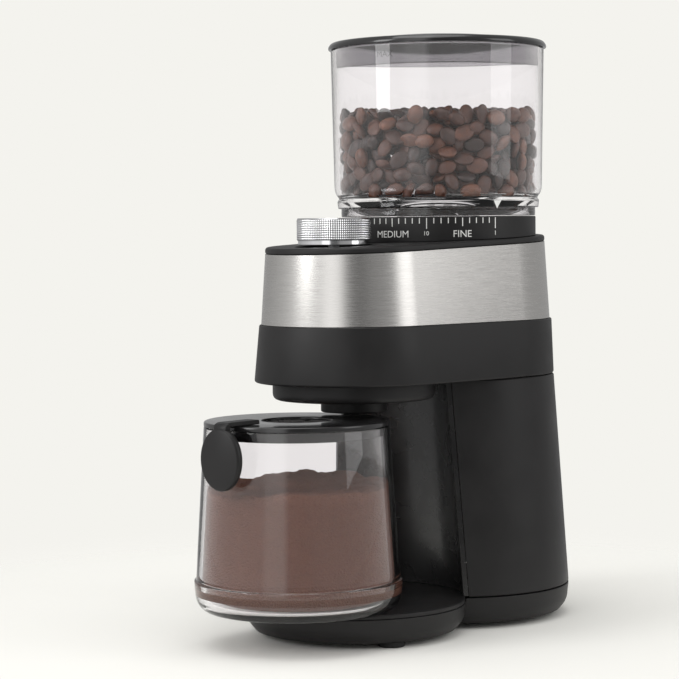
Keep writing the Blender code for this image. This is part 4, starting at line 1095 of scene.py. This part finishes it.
def build_world():
    """A pale backdrop; shiny surfaces see a studio with a dark side where the viewer stands."""
    world = bpy.data.worlds.new("studio")
    bpy.context.scene.world = world
    world.use_nodes = True
    world.cycles.sampling_method = "NONE"
    tree = world.node_tree
    backdrop = tree.nodes["Background"]
    backdrop.inputs["Color"].default_value = (*PALE, 1.0)
    place = tree.nodes.new("ShaderNodeTexCoord")
    turn = tree.nodes.new("ShaderNodeMapping")
    turn.inputs["Rotation"].default_value = (0, 0, math.radians(90 - VIEW_TURN))
    around = tree.nodes.new("ShaderNodeTexGradient")
    around.gradient_type = "RADIAL"
    tree.links.new(place.outputs["Generated"], turn.inputs["Vector"])
    tree.links.new(turn.outputs["Vector"], around.inputs["Vector"])
    studio = tree.nodes.new("ShaderNodeBackground")
    tree.links.new(color_ramp(tree, around.outputs["Fac"], STUDIO), studio.inputs["Color"])
    soft = tree.nodes.new("ShaderNodeBackground")
    soft.inputs["Color"].default_value = (0.80, 0.80, 0.79, 1.0)
    path = tree.nodes.new("ShaderNodeLightPath")
    mirrored = tree.nodes.new("ShaderNodeMath")
    mirrored.operation = "SUBTRACT"
    mirrored.use_clamp = True
    tree.links.new(path.outputs["Is Glossy Ray"], mirrored.inputs[0])
    tree.links.new(path.outputs["Is Transmission Ray"], mirrored.inputs[1])
    glossy = tree.nodes.new("ShaderNodeMixShader")
    diffuse = tree.nodes.new("ShaderNodeMixShader")
    tree.links.new(mirrored.outputs["Value"], glossy.inputs["Fac"])
    tree.links.new(backdrop.outputs["Background"], glossy.inputs[1])
    tree.links.new(studio.outputs["Background"], glossy.inputs[2])
    tree.links.new(path.outputs["Is Diffuse Ray"], diffuse.inputs["Fac"])
    tree.links.new(glossy.outputs["Shader"], diffuse.inputs[1])
    tree.links.new(soft.outputs["Background"], diffuse.inputs[2])
    tree.links.new(diffuse.outputs["Shader"], tree.nodes["World Output"].inputs["Surface"])


def softbox(name, turn, height, distance, size, power):
    """A soft lamp at turn degrees from the front (towards +X), facing the grinder."""
    angle = math.radians(turn)
    middle = Vector((0, 0, 0.16))
    place = Vector((math.sin(angle) * distance, -math.cos(angle) * distance, height))
    light = bpy.data.lights.new(name, "AREA")
    light.shape = "RECTANGLE"
    light.size, light.size_y = size
    light.energy = power
    lamp = bpy.data.objects.new(name, light)
    lamp.location = place
    lamp.rotation_mode = "QUATERNION"
    lamp.rotation_quaternion = (middle - place).to_track_quat("-Z", "Y")
    lamp.visible_camera = False
    lamp.visible_transmission = False
    bpy.context.scene.collection.objects.link(lamp)


def build_stage():
    build_camera()
    build_floor()
    build_world()
    softbox("window_left", -22.0, 0.75, 1.3, (0.45, 0.9), 6.0)
    softbox("fill_right", 112.0, 0.65, 1.4, (0.7, 1.0), 4.0)
    softbox("overhead", 10.0, 1.5, 0.25, (1.0, 1.0), 7.0)
    view = bpy.context.scene.view_settings
    view.view_transform = "Standard"
    view.look = "None"


dress_cad_nodes()
build_head()
build_collar()
build_scale()
build_tower()
build_base()
build_feet()
build_gland()
build_underside()
build_hopper()
build_lid()
build_beans()
build_knob()
build_jar()
build_stage()
